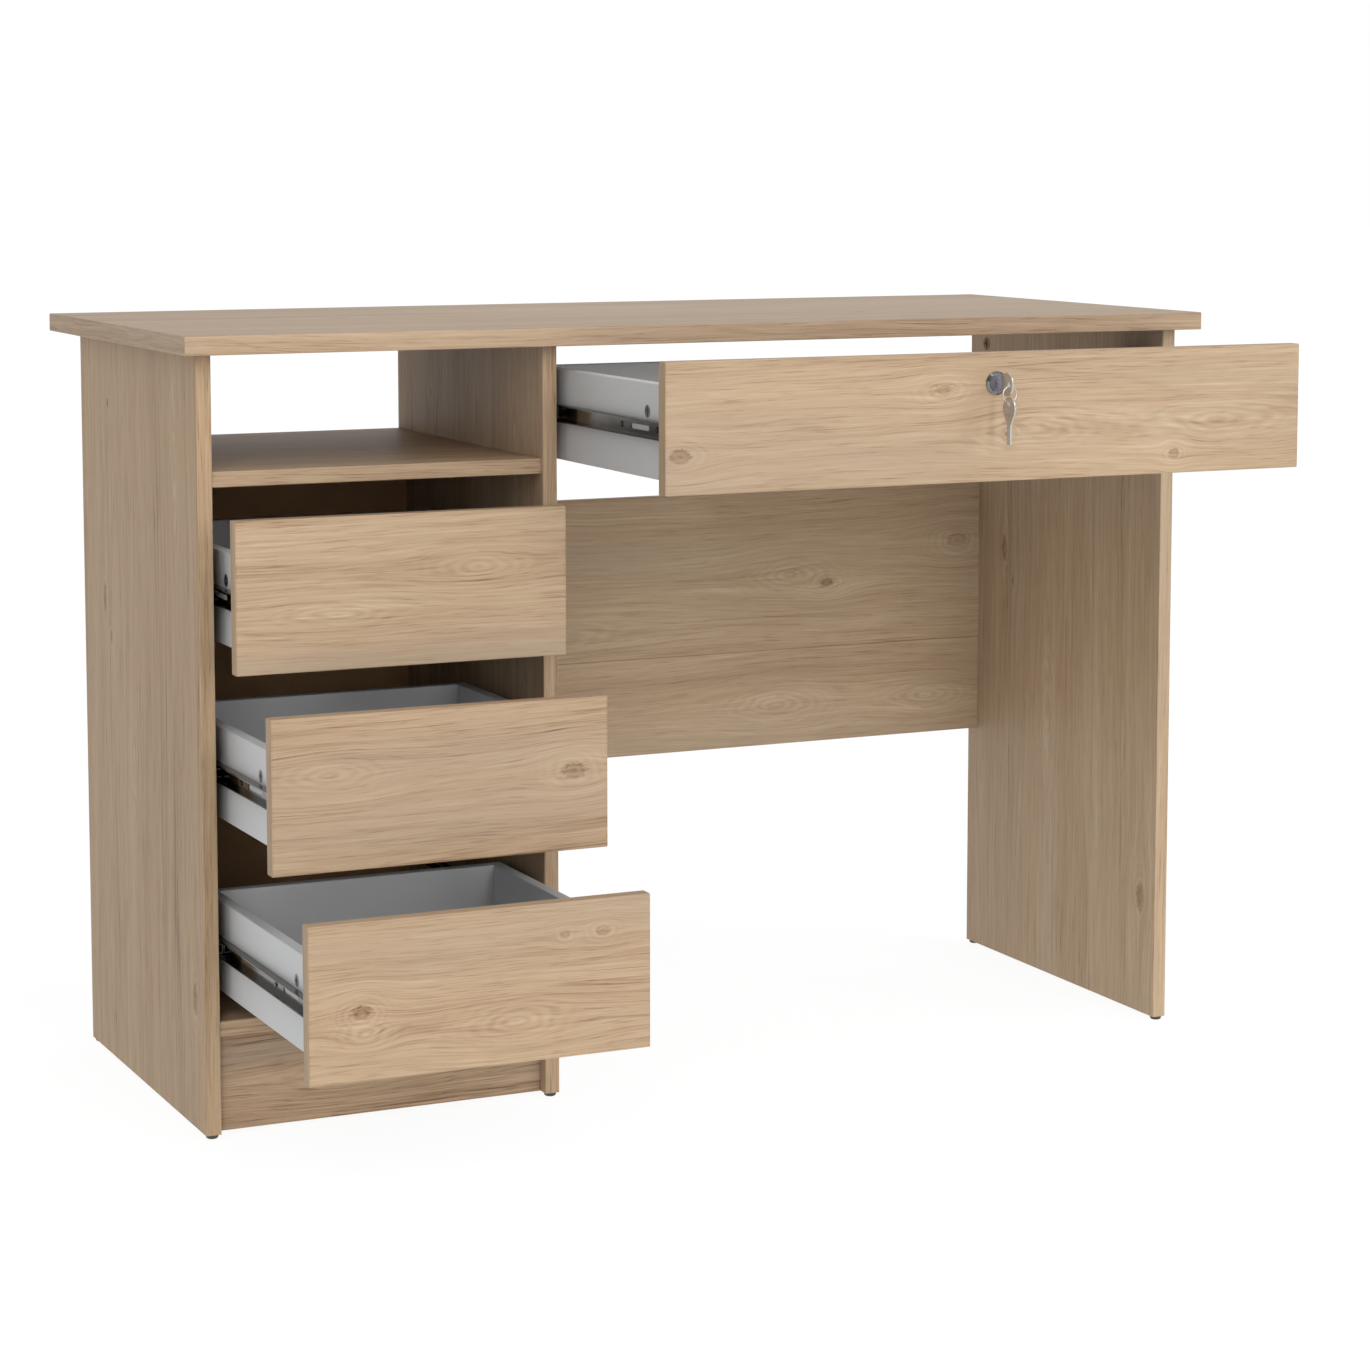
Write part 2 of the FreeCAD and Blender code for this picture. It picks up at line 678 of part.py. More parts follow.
def add_slide(label, side, faces, inward, drawer_place, pull):
    """One slide: a rail on the drawer's side, a rail on the panel and the ball cage between them."""
    back_face, base = drawer_place
    panel_face = faces[0] if inward == "+x" else faces[1]
    outward = opposite(inward)
    level = f"{base} + rail_lift"
    drawer_line = shift((panel_face, f"{back_face} + rail_end_gap", level), inward, "slide_gap")
    place_copy(f"{label}_rails", DRAWER_RAIL, drawer_line, "+y", outward)
    panel_line = (panel_face, "rail_start", level)
    place_copy("cabinet_rails", CABINET_RAIL, panel_line, "+y", inward)
    cage_y = f"rail_start + cage_margin + (slide_travel - {pull}) / 2"
    cage_line = shift((panel_face, cage_y, level), inward, "slide_gap")
    place_copy(f"{label}_ball_cages", CAGE, cage_line, "+y", outward)
    for row in range(BALLS_IN_A_ROW):
        along = shift(cage_line, "+y", f"cage_length * {row + 0.5} / {BALLS_IN_A_ROW}")
        for flank in ("+z", "-z"):
            ball_spot = shift(shift(along, outward, "ball_reach"), flank, "ball_level")
            place_copy(f"{label}_ball_cages", BALL, ball_spot, "+z")
    fix_rail(f"{label}_{side}", f"{label}_screws", drawer_line, inward, "rail_screw_pitch")
    fix_rail(PANEL_BESIDE[panel_face], "carcass_screws", panel_line, outward, "cabinet_screw_pitch")


def fix_rail(board_label, group, line, into, pitch):
    """Two screws through a rail's web into the board behind it."""
    depth = "rail_screw_length - rail_sheet + fit_gap"
    for step in range(2):
        spot = shift(line, "+y", f"rail_screw_first + {step} * {pitch}")
        note_bore(board_label, spot, into, "rail_screw_radius + fit_gap", depth)
        away = opposite(into)
        place_copy(group, RAIL_SCREW, shift(spot, away, "rail_sheet"), away)


# Slide masters: x points away from the face that the rail is fixed to, z runs along the rail.

def make_channel(label, depth, half_height, length, screw_pitch):
    """A rail: a channel of bent sheet, open on the side away from its fixed face, with two screw holes."""
    body = new_body(label)
    size = (depth, f"2 * ({half_height})", length)
    box = add_box(body, "Additive", size, ("0", f"0 - ({half_height})", "0"))
    round_edges(body, box, "z", f"min(rail_round; rail_sheet * {ROUNDING_SHARE})")
    inside = f"{half_height} - rail_sheet"
    hollow = (depth, f"2 * ({inside})", f"{length} + 2 * overrun")
    add_box(body, "Subtractive", hollow, ("rail_sheet", f"0 - ({inside})", "0 - overrun"))
    for step in range(2):
        spot = ("0", "0", f"rail_screw_first + {step} * {screw_pitch}")
        cut_bore(body, spot, "+x", "rail_screw_radius + fit_gap", "rail_sheet + overrun")
    return body


def make_drawer_rail():
    """The drawer's rail, with two screw holes and a long slot in its web."""
    body = make_channel("drawer_rail", "rail_reach", "rail_height / 2", "rail_length", "rail_screw_pitch")
    size = ("rail_sheet + 2 * overrun", "rail_slot_width", "rail_slot_length")
    add_box(body, "Subtractive", size, ("0 - overrun", "0 - rail_slot_width / 2", "rail_slot_start"))
    for end in ("rail_slot_start", "rail_slot_start + rail_slot_length"):
        cut_bore(body, ("0", "0", end), "+x", "rail_slot_width / 2", "rail_sheet + overrun")
    return body


def make_cabinet_rail():
    """The panel's rail, narrow enough to run inside the drawer's rail."""
    depth = "slide_gap - cabinet_tip"
    return make_channel("cabinet_rail", depth, "cabinet_half", "cabinet_rail_length", "cabinet_screw_pitch")


def make_cage():
    """The cage that holds the balls of one slide, in line with the drawer's rail."""
    body = new_body("cage")
    size = ("cage_depth", "2 * cage_half", "cage_length")
    add_box(body, "Additive", size, ("cage_near", "0 - cage_half", "0"))
    inside = "cage_half - cage_sheet"
    hollow = ("cage_depth", f"2 * ({inside})", "cage_length + 2 * overrun")
    add_box(body, "Subtractive", hollow, ("cage_near + cage_sheet", f"0 - ({inside})", "0 - overrun"))
    for row in range(BALLS_IN_A_ROW):
        spot = ("ball_reach", "0 - cage_half", f"cage_length * {row + 0.5} / {BALLS_IN_A_ROW}")
        cut_bore(body, spot, "+y", "ball_diameter / 2 + fit_gap", "2 * cage_half + overrun")
    return body


# Lock. Its frame has x to the right, y up and z towards the user, with z = 0 on the front's back face.

LOCK_PLACE = ("lock_x", "wide_face + board_thickness", "lock_z")


def set_lock(body):
    body.Placement = FreeCAD.Placement(FreeCAD.Vector(), turned("-y", "+x"))
    set_down(body, LOCK_PLACE)
    keep(body)


def make_lock_case():
    """A sheet case with the barrel on its face and a slot in its top for the bolt."""
    body = new_body("lock_case")
    size = ("case_width", "case_drop + case_rise", "case_depth")
    add_box(body, "Additive", size, ("0 - case_width / 2", "0 - case_drop", "0 - case_depth"))
    ears = ("case_width + 2 * ear_width", "ear_height", "case_wall")
    ear_corner = ("0 - case_width / 2 - ear_width", "0 - ear_height / 2", "0 - case_wall")
    add_box(body, "Additive", ears, ear_corner)
    barrel_start = ("0", "0", "0 - case_wall")
    add_cylinder(body, "Additive", "barrel_radius", "barrel_face + case_wall", barrel_start, "+z")
    hollow = [f"{outside} - 2 * case_wall" for outside in size]
    hollow_corner = ("case_wall - case_width / 2", "case_wall - case_drop", "case_wall - case_depth")
    add_box(body, "Subtractive", hollow, hollow_corner)
    bore_start = ("0", "0", "0 - case_wall - overrun")
    bore_length = "barrel_face + case_wall + 2 * overrun"
    add_cylinder(body, "Subtractive", "plug_radius + plug_gap", bore_length, bore_start, "+z")
    gate = ("bolt_width + 2 * bolt_slack", "case_wall + 2 * overrun", "bolt_thickness + 2 * bolt_slack")
    gate_low = "case_rise - case_wall - overrun"
    gate_corner = ("0 - bolt_width / 2 - bolt_slack", gate_low, "0 - bolt_back - bolt_slack")
    add_box(body, "Subtractive", gate, gate_corner)
    for sign in ("+x", "-x"):
        spot = shift(("0", "0", "0 - case_wall"), sign, "case_width / 2 + ear_width / 2")
        cut_bore(body, spot, "+z", "ear_screw_radius + fit_gap", "case_wall + overrun")
    set_lock(body)


def fix_lock():
    """Two screws through the case's ears into the wide front's back face."""
    body = "wide_drawer_front"
    length = "ear_screw_length + case_wall"
    screw = make_screw("ear_screw", "ear_screw_radius", length, "ear_screw_head", "ear_screw_head_height")
    for sign in ("+x", "-x"):
        spot = shift(LOCK_PLACE, sign, "case_width / 2 + ear_width / 2")
        note_bore(body, spot, "-y", "ear_screw_radius + fit_gap", "ear_screw_length + fit_gap")
        place_copy("wide_drawer_screws", screw, shift(spot, "+y", "case_wall"), "+y")
    face = shift(LOCK_PLACE, "-y", "board_thickness")
    note_bore(body, face, "+y", "barrel_radius + fit_gap", "board_thickness + overrun")


def make_rosette():
    """The bevelled chrome ring around the barrel."""
    body = new_body("lock_rosette")
    seat = ("0", "0", "board_thickness")
    ring = add_cylinder(body, "Additive", "rosette_radius", "rosette_height", seat, "+z")
    level = SIZES["board_thickness"] + SIZES["rosette_height"]
    bevel_rim(body, ring, "Chamfer", level, "rosette_bevel", "Size")
    cut_bore(body, seat, "+z", "barrel_radius + fit_gap", "rosette_height + overrun")
    set_lock(body)


def make_plug():
    """The turning plug with its keyway, and the disc and pin that lift the bolt."""
    body = new_body("lock_plug")
    start = ("0", "0", "0 - disc_back")
    add_cylinder(body, "Additive", "plug_radius", "barrel_face + disc_back", start, "+z")
    add_cylinder(body, "Additive", "disc_radius", "disc_thickness", start, "+z")
    pin_start = ("0 - pin_offset", "0 - pin_offset", "0 - bolt_back")
    pin_length = "bolt_gap + bolt_thickness + disc_thickness / 2"
    add_cylinder(body, "Additive", "pin_radius", pin_length, pin_start, "+z")
    inserted = "key_blade - key_offset + barrel_proud"
    slot = ("key_thickness + 2 * key_gap", "key_shank + 2 * key_gap", f"{inserted} + key_gap + overrun")
    slot_end = f"barrel_face - ({inserted}) - key_gap"
    slot_corner = ("0 - key_thickness / 2 - key_gap", "0 - key_shank / 2 - key_gap", slot_end)
    add_box(body, "Subtractive", slot, slot_corner)
    set_lock(body)


def make_lock_bolt():
    """The sliding bolt, with a level slot that the plug's pin works in."""
    body = new_body("lock_bolt")
    foot = "pin_offset + pin_radius + bolt_slack + case_wall"
    size = ("bolt_width", f"case_rise + {foot}", "bolt_thickness")
    add_box(body, "Additive", size, ("0 - bolt_width / 2", f"0 - ({foot})", "0 - bolt_back"))
    half = "pin_radius + pin_slack"
    reach = "pin_offset * sqrt(2) + pin_radius + pin_slack"
    slot = (f"{reach} - pin_offset + {half}", f"2 * ({half})", "bolt_thickness + 2 * overrun")
    slot_corner = (f"0 - ({reach})", f"0 - pin_offset - ({half})", "0 - bolt_back - overrun")
    add_box(body, "Subtractive", slot, slot_corner)
    set_lock(body)


def make_strike():
    """The strike plate, let into the desktop's underside, and its two screws."""
    body = new_body("strike_plate")
    size = ("strike_width", "strike_depth", "strike_thickness")
    add_box(body, "Additive", size, ("0 - strike_width / 2", "0 - strike_depth / 2", "0"))
    hole_width = "bolt_width + 2 * strike_gap"
    hole_depth = "bolt_thickness + 2 * strike_gap"
    hole = (hole_width, hole_depth, "strike_thickness + 2 * overrun")
    add_box(body, "Subtractive", hole, (f"0 - ({hole_width}) / 2", f"0 - ({hole_depth}) / 2", "0 - overrun"))
    radius = "strike_screw_radius"
    length = "strike_screw_length"
    screw = make_screw("strike_screw", radius, length, "strike_screw_head", "strike_thickness")
    for sign in ("+x", "-x"):
        aside = "strike_width / 2 - strike_screw_inset"
        local = shift(("0", "0", "0"), sign, aside)
        cut_bore(body, local, "+z", "strike_screw_head + fit_gap", "strike_thickness + overrun")
        spot = shift(("lock_x", "bolt_y", "under_top + strike_thickness"), sign, aside)
        note_bore("desktop", spot, "+z", f"{radius} + fit_gap", f"{length} + fit_gap")
        place_copy("carcass_screws", screw, spot, "-z")
    set_down(body, ("lock_x", "bolt_y", "under_top"))
    keep(body)


# Keys. A key's frame has its bow's centre at the origin, its blade down z and x across its thickness.

def make_key(label):
    """A key with a round bow that narrows to a grooved blade, notched along one edge and at its tip."""
    body = new_body(label)
    half = "0 - key_thickness / 2"
    add_cylinder(body, "Additive", "key_bow_radius", "key_thickness", (half, "0", "0"), "+x")
    blade = ("key_thickness", "key_shank", "key_blade")
    add_box(body, "Additive", blade, (half, "0 - key_shank / 2", "0 - key_blade"))
    outline = add_bow_taper(body)
    doc.recompute()
    edges = enumerate(outline.Shape.Edges, start=1)
    rims = [f"Edge{number}" for number, edge in edges if edge.BoundBox.XLength < LEVEL_TOLERANCE]
    soft = body.newObject("PartDesign::Fillet", f"{label}_soft")
    soft.Base = (outline, rims)
    bind(soft, "Radius", f"min(key_bow_round; key_thickness / 2 * {ROUNDING_SHARE})")
    cut_bore(body, (half, "0", "key_hole_offset"), "+x", "key_hole_radius", "key_thickness + overrun")
    groove = ("key_groove_depth + overrun", "key_groove_width", "key_blade - key_taper + overrun")
    for side in (f"{half} - overrun", "key_thickness / 2 - key_groove_depth"):
        add_box(body, "Subtractive", groove, (side, "0 - key_groove_width / 2", "0 - key_blade - overrun"))
    for step in range(NOTCHES):
        cut_notch(body, "key_shank / 2 - key_notch", f"key_notch_pitch * {step} - key_blade", -NOTCH_ANGLE)
    cut_notch(body, "key_notch - key_shank / 2", "0 - key_blade", 180 - NOTCH_ANGLE)
    return body


def add_bow_taper(body):
    """The wedge that narrows from the bow's flanks to the blade."""
    wedge = body.newObject("PartDesign::AdditiveWedge", f"{body.Label}_taper")
    wedge.Placement = FreeCAD.Placement(FreeCAD.Vector(), FreeCAD.Rotation(AXES["+x"], -90))
    aside = f"key_bow_radius * {BOW_ASIDE_SHARE}"
    ends = {"": (f"key_bow_radius * {BOW_BELOW_SHARE}", aside), "2": ("key_taper", "key_shank / 2")}
    for number, (drop, width) in ends.items():
        bind(wedge, "Ymax" if number else "Ymin", drop)
        bind(wedge, f"X{number}min", "0 - key_thickness / 2")
        bind(wedge, f"X{number}max", "key_thickness / 2")
        bind(wedge, f"Z{number}min", f"0 - {width}")
        bind(wedge, f"Z{number}max", width)
    return wedge


def cut_notch(body, bottom, level, angle):
    """Cut a square-cornered notch into a blade's edge, its corner at the notch's bottom."""
    notch = body.newObject("PartDesign::SubtractiveBox", f"{body.Label}_notch")
    notch.Placement = FreeCAD.Placement(FreeCAD.Vector(), FreeCAD.Rotation(AXES["+x"], angle))
    bind(notch, "Length", "key_thickness + 2 * overrun")
    for prop in ("Width", "Height"):
        bind(notch, prop, "key_notch + overrun")
    bind_place(notch, ("0 - key_thickness / 2 - overrun", bottom, level))


def make_keys():
    """The key in the lock, the ring through its bow and the spare key that hangs on the ring."""
    key = make_key("key")
    key.Placement = FreeCAD.Placement(FreeCAD.Vector(), turned("-y", "+x"))
    set_down(key, ("lock_x", "wide_face - key_offset", "lock_z"))
    keep(key)
    ring = doc.addObject("Part::Torus", "key_ring")
    ring.Label = "key_ring"
    bind(ring, "Radius1", "ring_radius")
    bind(ring, "Radius2", "ring_wire")
    ring.Placement = FreeCAD.Placement(FreeCAD.Vector(), turned("-y", "+x"))
    set_down(ring, ("lock_x", "hole_y", "ring_z"))
    keep(ring)
    spare = make_key("spare_key")
    set_down(spare, ("lock_x", "hole_y", "spare_z"))
    keep(spare)


def check_and_write():
    """Stop at any failed object or bad shape, and otherwise write one file to a node."""
    doc.recompute()
    failed = [item.Name for item in doc.Objects if {"Invalid", "Error"} & set(item.State)]
    if failed:
        raise RuntimeError(f"failed objects: {failed}")
    for node in nodes:
        if node.Shape.isNull() or not node.Shape.isValid():
            raise RuntimeError(f"bad shape: {node.Label}")
    os.makedirs("parts", exist_ok=True)
    for node in nodes:
        node.Shape.exportStep(f"parts/{node.Label}.step")
    print(len(nodes), "nodes written")


make_sheet()
CAM_KINDS = {
    "frame": {
        "cam": make_cam("frame_cam", "cam_radius", "cam_depth", "half_board", "bolt_radius"),
        "bolt": make_bolt("frame_bolt", "bolt_radius", "cam_reach", "thread_length"),
        "cam_radius": "cam_radius",
        "bolt_radius": "bolt_radius",
        "depth": "cam_depth",
        "middle": "half_board",
        "reach": "cam_reach",
    },
    "box": {
        "cam": make_cam("box_cam", "box_cam_radius", "box_cam_depth", "box_board / 2", "box_bolt_radius"),
        "bolt": make_bolt("box_bolt", "box_bolt_radius", "box_cam_reach", "thread_length"),
        "cam_radius": "box_cam_radius",
        "bolt_radius": "box_bolt_radius",
        "depth": "box_cam_depth",
        "middle": "box_board / 2",
        "reach": "box_cam_reach",
    },
}
PANEL_BESIDE = {
    "left_inner": "left_side_panel",
    "middle_left": "middle_panel",
    "middle_right": "middle_panel",
    "right_inner": "right_side_panel",
}
DOWEL = make_dowel()
FOOT = make_foot()
BALL = make_ball()
HEAD = "screw_head_height"
BOX_SCREW = make_screw("box_screw", "box_screw_radius", "box_screw_length", "box_screw_head", HEAD)
RAIL_SCREW = make_screw("rail_screw", "rail_screw_radius", "rail_screw_length", "rail_screw_head", HEAD)
DRAWER_RAIL = make_drawer_rail()
CABINET_RAIL = make_cabinet_rail()
CAGE = make_cage()

join_uprights()
join_cross_boards()
fix_lock()
for drawer, facts in DRAWERS.items():
    make_drawer(drawer, *facts)
make_strike()
make_frame()
for group_name in ("feet", "cam_locks", "cam_bolts", "wood_dowels", "cabinet_rails", "carcass_screws"):
    keep_group(group_name)
make_lock_case()
make_rosette()
make_plug()
make_lock_bolt()
make_keys()
check_and_write()
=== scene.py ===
import math
from collections import namedtuple

import bpy
from mathutils import Color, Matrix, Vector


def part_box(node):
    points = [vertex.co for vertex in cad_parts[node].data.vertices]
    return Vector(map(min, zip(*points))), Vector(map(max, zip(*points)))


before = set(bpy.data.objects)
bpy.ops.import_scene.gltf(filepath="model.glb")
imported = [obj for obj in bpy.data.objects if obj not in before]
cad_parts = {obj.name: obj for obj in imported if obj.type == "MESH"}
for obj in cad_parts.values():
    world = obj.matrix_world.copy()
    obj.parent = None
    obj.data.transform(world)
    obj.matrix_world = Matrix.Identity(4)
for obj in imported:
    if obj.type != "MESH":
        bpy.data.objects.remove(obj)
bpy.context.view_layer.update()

# Camera: its place is in metres, its angles in degrees, its lens and sensor in millimetres, and its shift in
# shares of the frame. Yaw turns from +Y towards +X, and pitch looks down.
CAMERA_PLACE = (-1.4468, -3.1184, 0.9315)
CAMERA_YAW = 24.975
CAMERA_PITCH = 6.023
CAMERA_LENS = 89.55
CAMERA_SHIFT_SHARE = -0.13
SENSOR_WIDTH = 36.0

# Studio: the floor glows white, and the sky's light is given by the side that it comes from. In front it is
# parted into softboxes, counted round the whole horizon, with dark gaps and soft edges between them.
WHITE = (1.0, 1.0, 1.0, 1.0)
FLOOR_SIZE = 60.0
FLOOR_COLOUR = (0.10, 0.10, 0.10, 1.0)
FLOOR_ROUGHNESS = 0.9
FLOOR_GLOW = 0.92
FRONT_LIGHT = 2.60
BACK_LIGHT = 0.66
RIGHT_LIGHT = 0.48
OVERHEAD_LIGHT = 0.50
SOFTBOX_COUNT = 9.0
SOFTBOX_EDGE = 0.4
SOFTBOX_DARK = 0.03
SOFTBOX_BRIGHT = 1.97

# The letters give each board's axes: along the grain, across it, and through the board.
FLAT_BOARDS = ("desktop", "shelf", "bottom_panel")
STANDING_BOARDS = ("plinth", "modesty_panel")
UPRIGHTS = ("left_side_panel", "middle_panel", "right_side_panel")
DRAWERS = ("upper_drawer", "middle_drawer", "lower_drawer", "wide_drawer")
BOARD_AXES = {label: "xyz" for label in FLAT_BOARDS}
BOARD_AXES.update({label: "xzy" for label in STANDING_BOARDS})
BOARD_AXES.update({label: "zyx" for label in UPRIGHTS})
BOARD_AXES.update({f"{drawer}_front": "xzy" for drawer in DRAWERS})

# A knot or swirl of the figure: its place on the board, in shares of the board along and across the grain,
# its half length and half width in metres, and how dark its core is. A swirl has no dark core.
Knot = namedtuple("Knot", "along_share across_share length width dark", defaults=(0.0,))
UPRIGHT_FIGURE = (
    Knot(0.640, 0.800, 0.013, 0.005, 0.85),
    Knot(0.592, 0.752, 0.005, 0.003, 0.70),
    Knot(0.170, 0.070, 0.012, 0.006, 0.95),
    Knot(0.912, 0.752, 0.004, 0.003, 0.70),
    Knot(0.420, 0.560, 0.060, 0.014),
    Knot(0.860, 0.180, 0.080, 0.012),
)
FIGURES = {label: UPRIGHT_FIGURE for label in UPRIGHTS}
FIGURES.update({
    "desktop": (
        Knot(0.220, 0.550, 0.012, 0.007, 0.75),
        Knot(0.710, 0.330, 0.009, 0.006, 0.70),
        Knot(0.470, 0.720, 0.110, 0.022),
        Knot(0.860, 0.680, 0.090, 0.020),
        Knot(0.120, 0.220, 0.080, 0.018),
    ),
    "shelf": (
        Knot(0.620, 0.400, 0.008, 0.005, 0.60),
        Knot(0.300, 0.600, 0.070, 0.018),
    ),
    "bottom_panel": (Knot(0.350, 0.550, 0.009, 0.006, 0.60),),
    "plinth": (Knot(0.400, 0.450, 0.070, 0.014),),
    "modesty_panel": (
        Knot(0.713, 0.628, 0.008, 0.005, 0.95),
        Knot(0.648, 0.670, 0.050, 0.020),
        Knot(0.959, 0.767, 0.014, 0.008, 0.55),
        Knot(0.619, 0.156, 0.060, 0.022),
        Knot(0.896, 0.149, 0.050, 0.018),
        Knot(0.200, 0.480, 0.090, 0.016),
    ),
    "upper_drawer_front": (
        Knot(0.727, 0.633, 0.045, 0.014),
        Knot(0.300, 0.360, 0.060, 0.012),
    ),
    "middle_drawer_front": (
        Knot(0.898, 0.521, 0.011, 0.0065, 0.95),
        Knot(0.163, 0.619, 0.050, 0.018),
    ),
    "lower_drawer_front": (
        Knot(0.150, 0.430, 0.008, 0.006, 0.85),
        Knot(0.160, 0.297, 0.024, 0.012),
        Knot(0.856, 0.787, 0.006, 0.004, 0.55),
        Knot(0.743, 0.787, 0.004, 0.003, 0.50),
        Knot(0.602, 0.270, 0.050, 0.016),
    ),
    "wide_drawer_front": (
        Knot(0.022, 0.290, 0.010, 0.006, 0.95),
        Knot(0.417, 0.717, 0.010, 0.005, 0.55),
        Knot(0.520, 0.357, 0.003, 0.0025, 0.90),
        Knot(0.790, 0.160, 0.005, 0.004, 0.75),
        Knot(0.855, 0.414, 0.085, 0.021),
        Knot(0.560, 0.400, 0.060, 0.018),
    ),
})

# Joints between the printed planks of the decor, as shares across the board.
SEAM_SHARES = {label: (0.325, 0.767) for label in UPRIGHTS}
SEAM_SHARES["modesty_panel"] = (0.375,)
SEAM_SHARES["desktop"] = (0.27, 0.66)


# Node trees

BYTE_TOP = 255
NOISE_MIDDLE = 0.5

# Where the Mix node keeps its colours, since its sockets for colours and for numbers share their names.
FIRST_COLOUR = 6
SECOND_COLOUR = 7
MIXED_COLOUR = 2

# Even noise: features per metre, octaves of detail, how far it moves the tone, roughness and distortion.
Speckle = namedtuple("Speckle", "scale detail amount roughness distortion", defaults=(0.0, 0.5, 0.0))
# Bump: its strength as a share, and its height in metres.
Relief = namedtuple("Relief", "strength_share height")
# Roughness where a noise is 0, and how much it gains where the noise is 1.
Sheen = namedtuple("Sheen", "base gain")


def paint(red, green, blue):
    """A colour given in 8-bit display values, as the linear colour that shaders take."""
    shown = Color((red / BYTE_TOP, green / BYTE_TOP, blue / BYTE_TOP))
    return (*shown.from_srgb_to_scene_linear(), 1.0)


class Graph:
    """A node tree under construction: each call adds its nodes and gives back their result."""

    def __init__(self, tree):
        self.tree = tree

    def feed(self, socket, value):
        """Link a result to a socket, or set the socket to a plain value."""
        if isinstance(value, bpy.types.NodeSocket):
            self.tree.links.new(value, socket)
        else:
            socket.default_value = value

    def calc(self, operation, *values):
        node = self.tree.nodes.new("ShaderNodeMath")
        node.operation = operation
        for socket, value in zip(node.inputs, values):
            self.feed(socket, value)
        return node.outputs[0]

    def total(self, first, *others):
        for other in others:
            first = self.calc("ADD", first, other)
        return first

    def square(self, value):
        return self.calc("MULTIPLY", value, value)

    def scaled(self, value, middle, amount):
        """A value's distance from a middle, times an amount."""
        return self.calc("MULTIPLY", self.calc("SUBTRACT", value, middle), amount)

    def swing(self, noise, amount):
        """A noise's swing about its middle, times an amount."""
        return self.scaled(noise, NOISE_MIDDLE, amount)

    def rise(self, value, low, high):
        """0 up to low, rising smoothly to 1 at high."""
        node = self.tree.nodes.new("ShaderNodeMapRange")
        node.interpolation_type = "SMOOTHSTEP"
        self.feed(node.inputs["Value"], value)
        node.inputs["From Min"].default_value = low
        node.inputs["From Max"].default_value = high
        return node.outputs["Result"]

    def fall(self, value, low, high):
        """1 up to low, falling smoothly to 0 at high."""
        return self.calc("SUBTRACT", 1.0, self.rise(value, low, high))

    def hill(self, spread):
        """1 at a centre, falling away smoothly with the squared distance."""
        return self.calc("EXPONENT", self.calc("MULTIPLY", spread, -1.0))

    def spot(self, x, y, z):
        node = self.tree.nodes.new("ShaderNodeCombineXYZ")
        for socket, value in zip(node.inputs, (x, y, z)):
            self.feed(socket, value)
        return node.outputs[0]

    def noise(self, spot, scale=1.0, detail=2.0, roughness=0.5, distortion=0.0):
        node = self.tree.nodes.new("ShaderNodeTexNoise")
        self.feed(node.inputs["Vector"], spot)
        node.inputs["Scale"].default_value = scale
        node.inputs["Detail"].default_value = detail
        node.inputs["Roughness"].default_value = roughness
        node.inputs["Distortion"].default_value = distortion
        return node.outputs["Fac"]

    def ramp(self, value, stops):
        """A colour ramp through (place, colour) stops."""
        node = self.tree.nodes.new("ShaderNodeValToRGB")
        elements = node.color_ramp.elements
        while len(elements) < len(stops):
            elements.new(1.0)
        for element, (place, colour) in zip(elements, stops):
            element.position = place
            element.color = colour
        self.feed(node.inputs["Fac"], value)
        return node.outputs["Color"]

    def blend(self, share, first, second, kind="MIX"):
        """Two colours put together, with the second one's share."""
        node = self.tree.nodes.new("ShaderNodeMix")
        node.data_type = "RGBA"
        node.blend_type = kind
        self.feed(node.inputs["Factor"], share)
        self.feed(node.inputs[FIRST_COLOUR], first)
        self.feed(node.inputs[SECOND_COLOUR], second)
        return node.outputs[MIXED_COLOUR]

    def read(self, output):
        """One of the texture coordinates, as its three numbers keyed by axis letter."""
        node = self.tree.nodes.new("ShaderNodeTexCoord")
        split = self.tree.nodes.new("ShaderNodeSeparateXYZ")
        self.tree.links.new(node.outputs[output], split.inputs[0])
        return dict(zip("xyz", split.outputs))


class Finish(Graph):
    """A material with its shader."""

    def __init__(self, name):
        self.material = bpy.data.materials.new(name)
        self.material.use_nodes = True
        super().__init__(self.material.node_tree)
        self.shader = self.tree.nodes["Principled BSDF"]

    def set(self, **values):
        """Set the shader's sockets; an underscore in a name stands for a space."""
        for name, value in values.items():
            self.feed(self.shader.inputs[name.replace("_", " ")], value)

    def speckle(self, speckle):
        """Even noise in the part's own frame."""
        spot = self.spot(*self.read("Object").values())
        return self.noise(spot, speckle.scale, speckle.detail, speckle.roughness, speckle.distortion)

    def mottled(self, *swings):
        """A tone that lies about the middle of a ramp, moved by (noise, amount) pairs."""
        return self.total(NOISE_MIDDLE, *(self.swing(noise, amount) for noise, amount in swings))

    def roughen(self, noise, sheen):
        self.set(Roughness=self.calc("MULTIPLY_ADD", noise, sheen.gain, sheen.base))

    def bump(self, height, relief):
        node = self.tree.nodes.new("ShaderNodeBump")
        node.inputs["Strength"].default_value = relief.strength_share
        node.inputs["Distance"].default_value = relief.height
        self.feed(node.inputs["Height"], height)
        self.set(Normal=node.outputs["Normal"])


def dress(label, material):
    """Give a CAD node its finish."""
    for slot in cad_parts[label].material_slots:
        slot.material = material


# Wood decor

# Noise stretched along the grain: features per metre along and across it, the seed that picks its slice of
# the noise, and its octaves of detail.
Weave = namedtuple("Weave", "along across seed detail", defaults=(2.0,))
# A weave that counts only where it is high: 0 up to the low level and 1 from the high one.
Patches = namedtuple("Patches", "weave low high")
# A weave, and how far it moves what it acts on.
Layer = namedtuple("Layer", "weave amount")

# Each board has noise of its own, and so has each printed plank of a board.
BOARD_SEED_STEP = 7.3
PLANK_SEED_STEP = 2.7

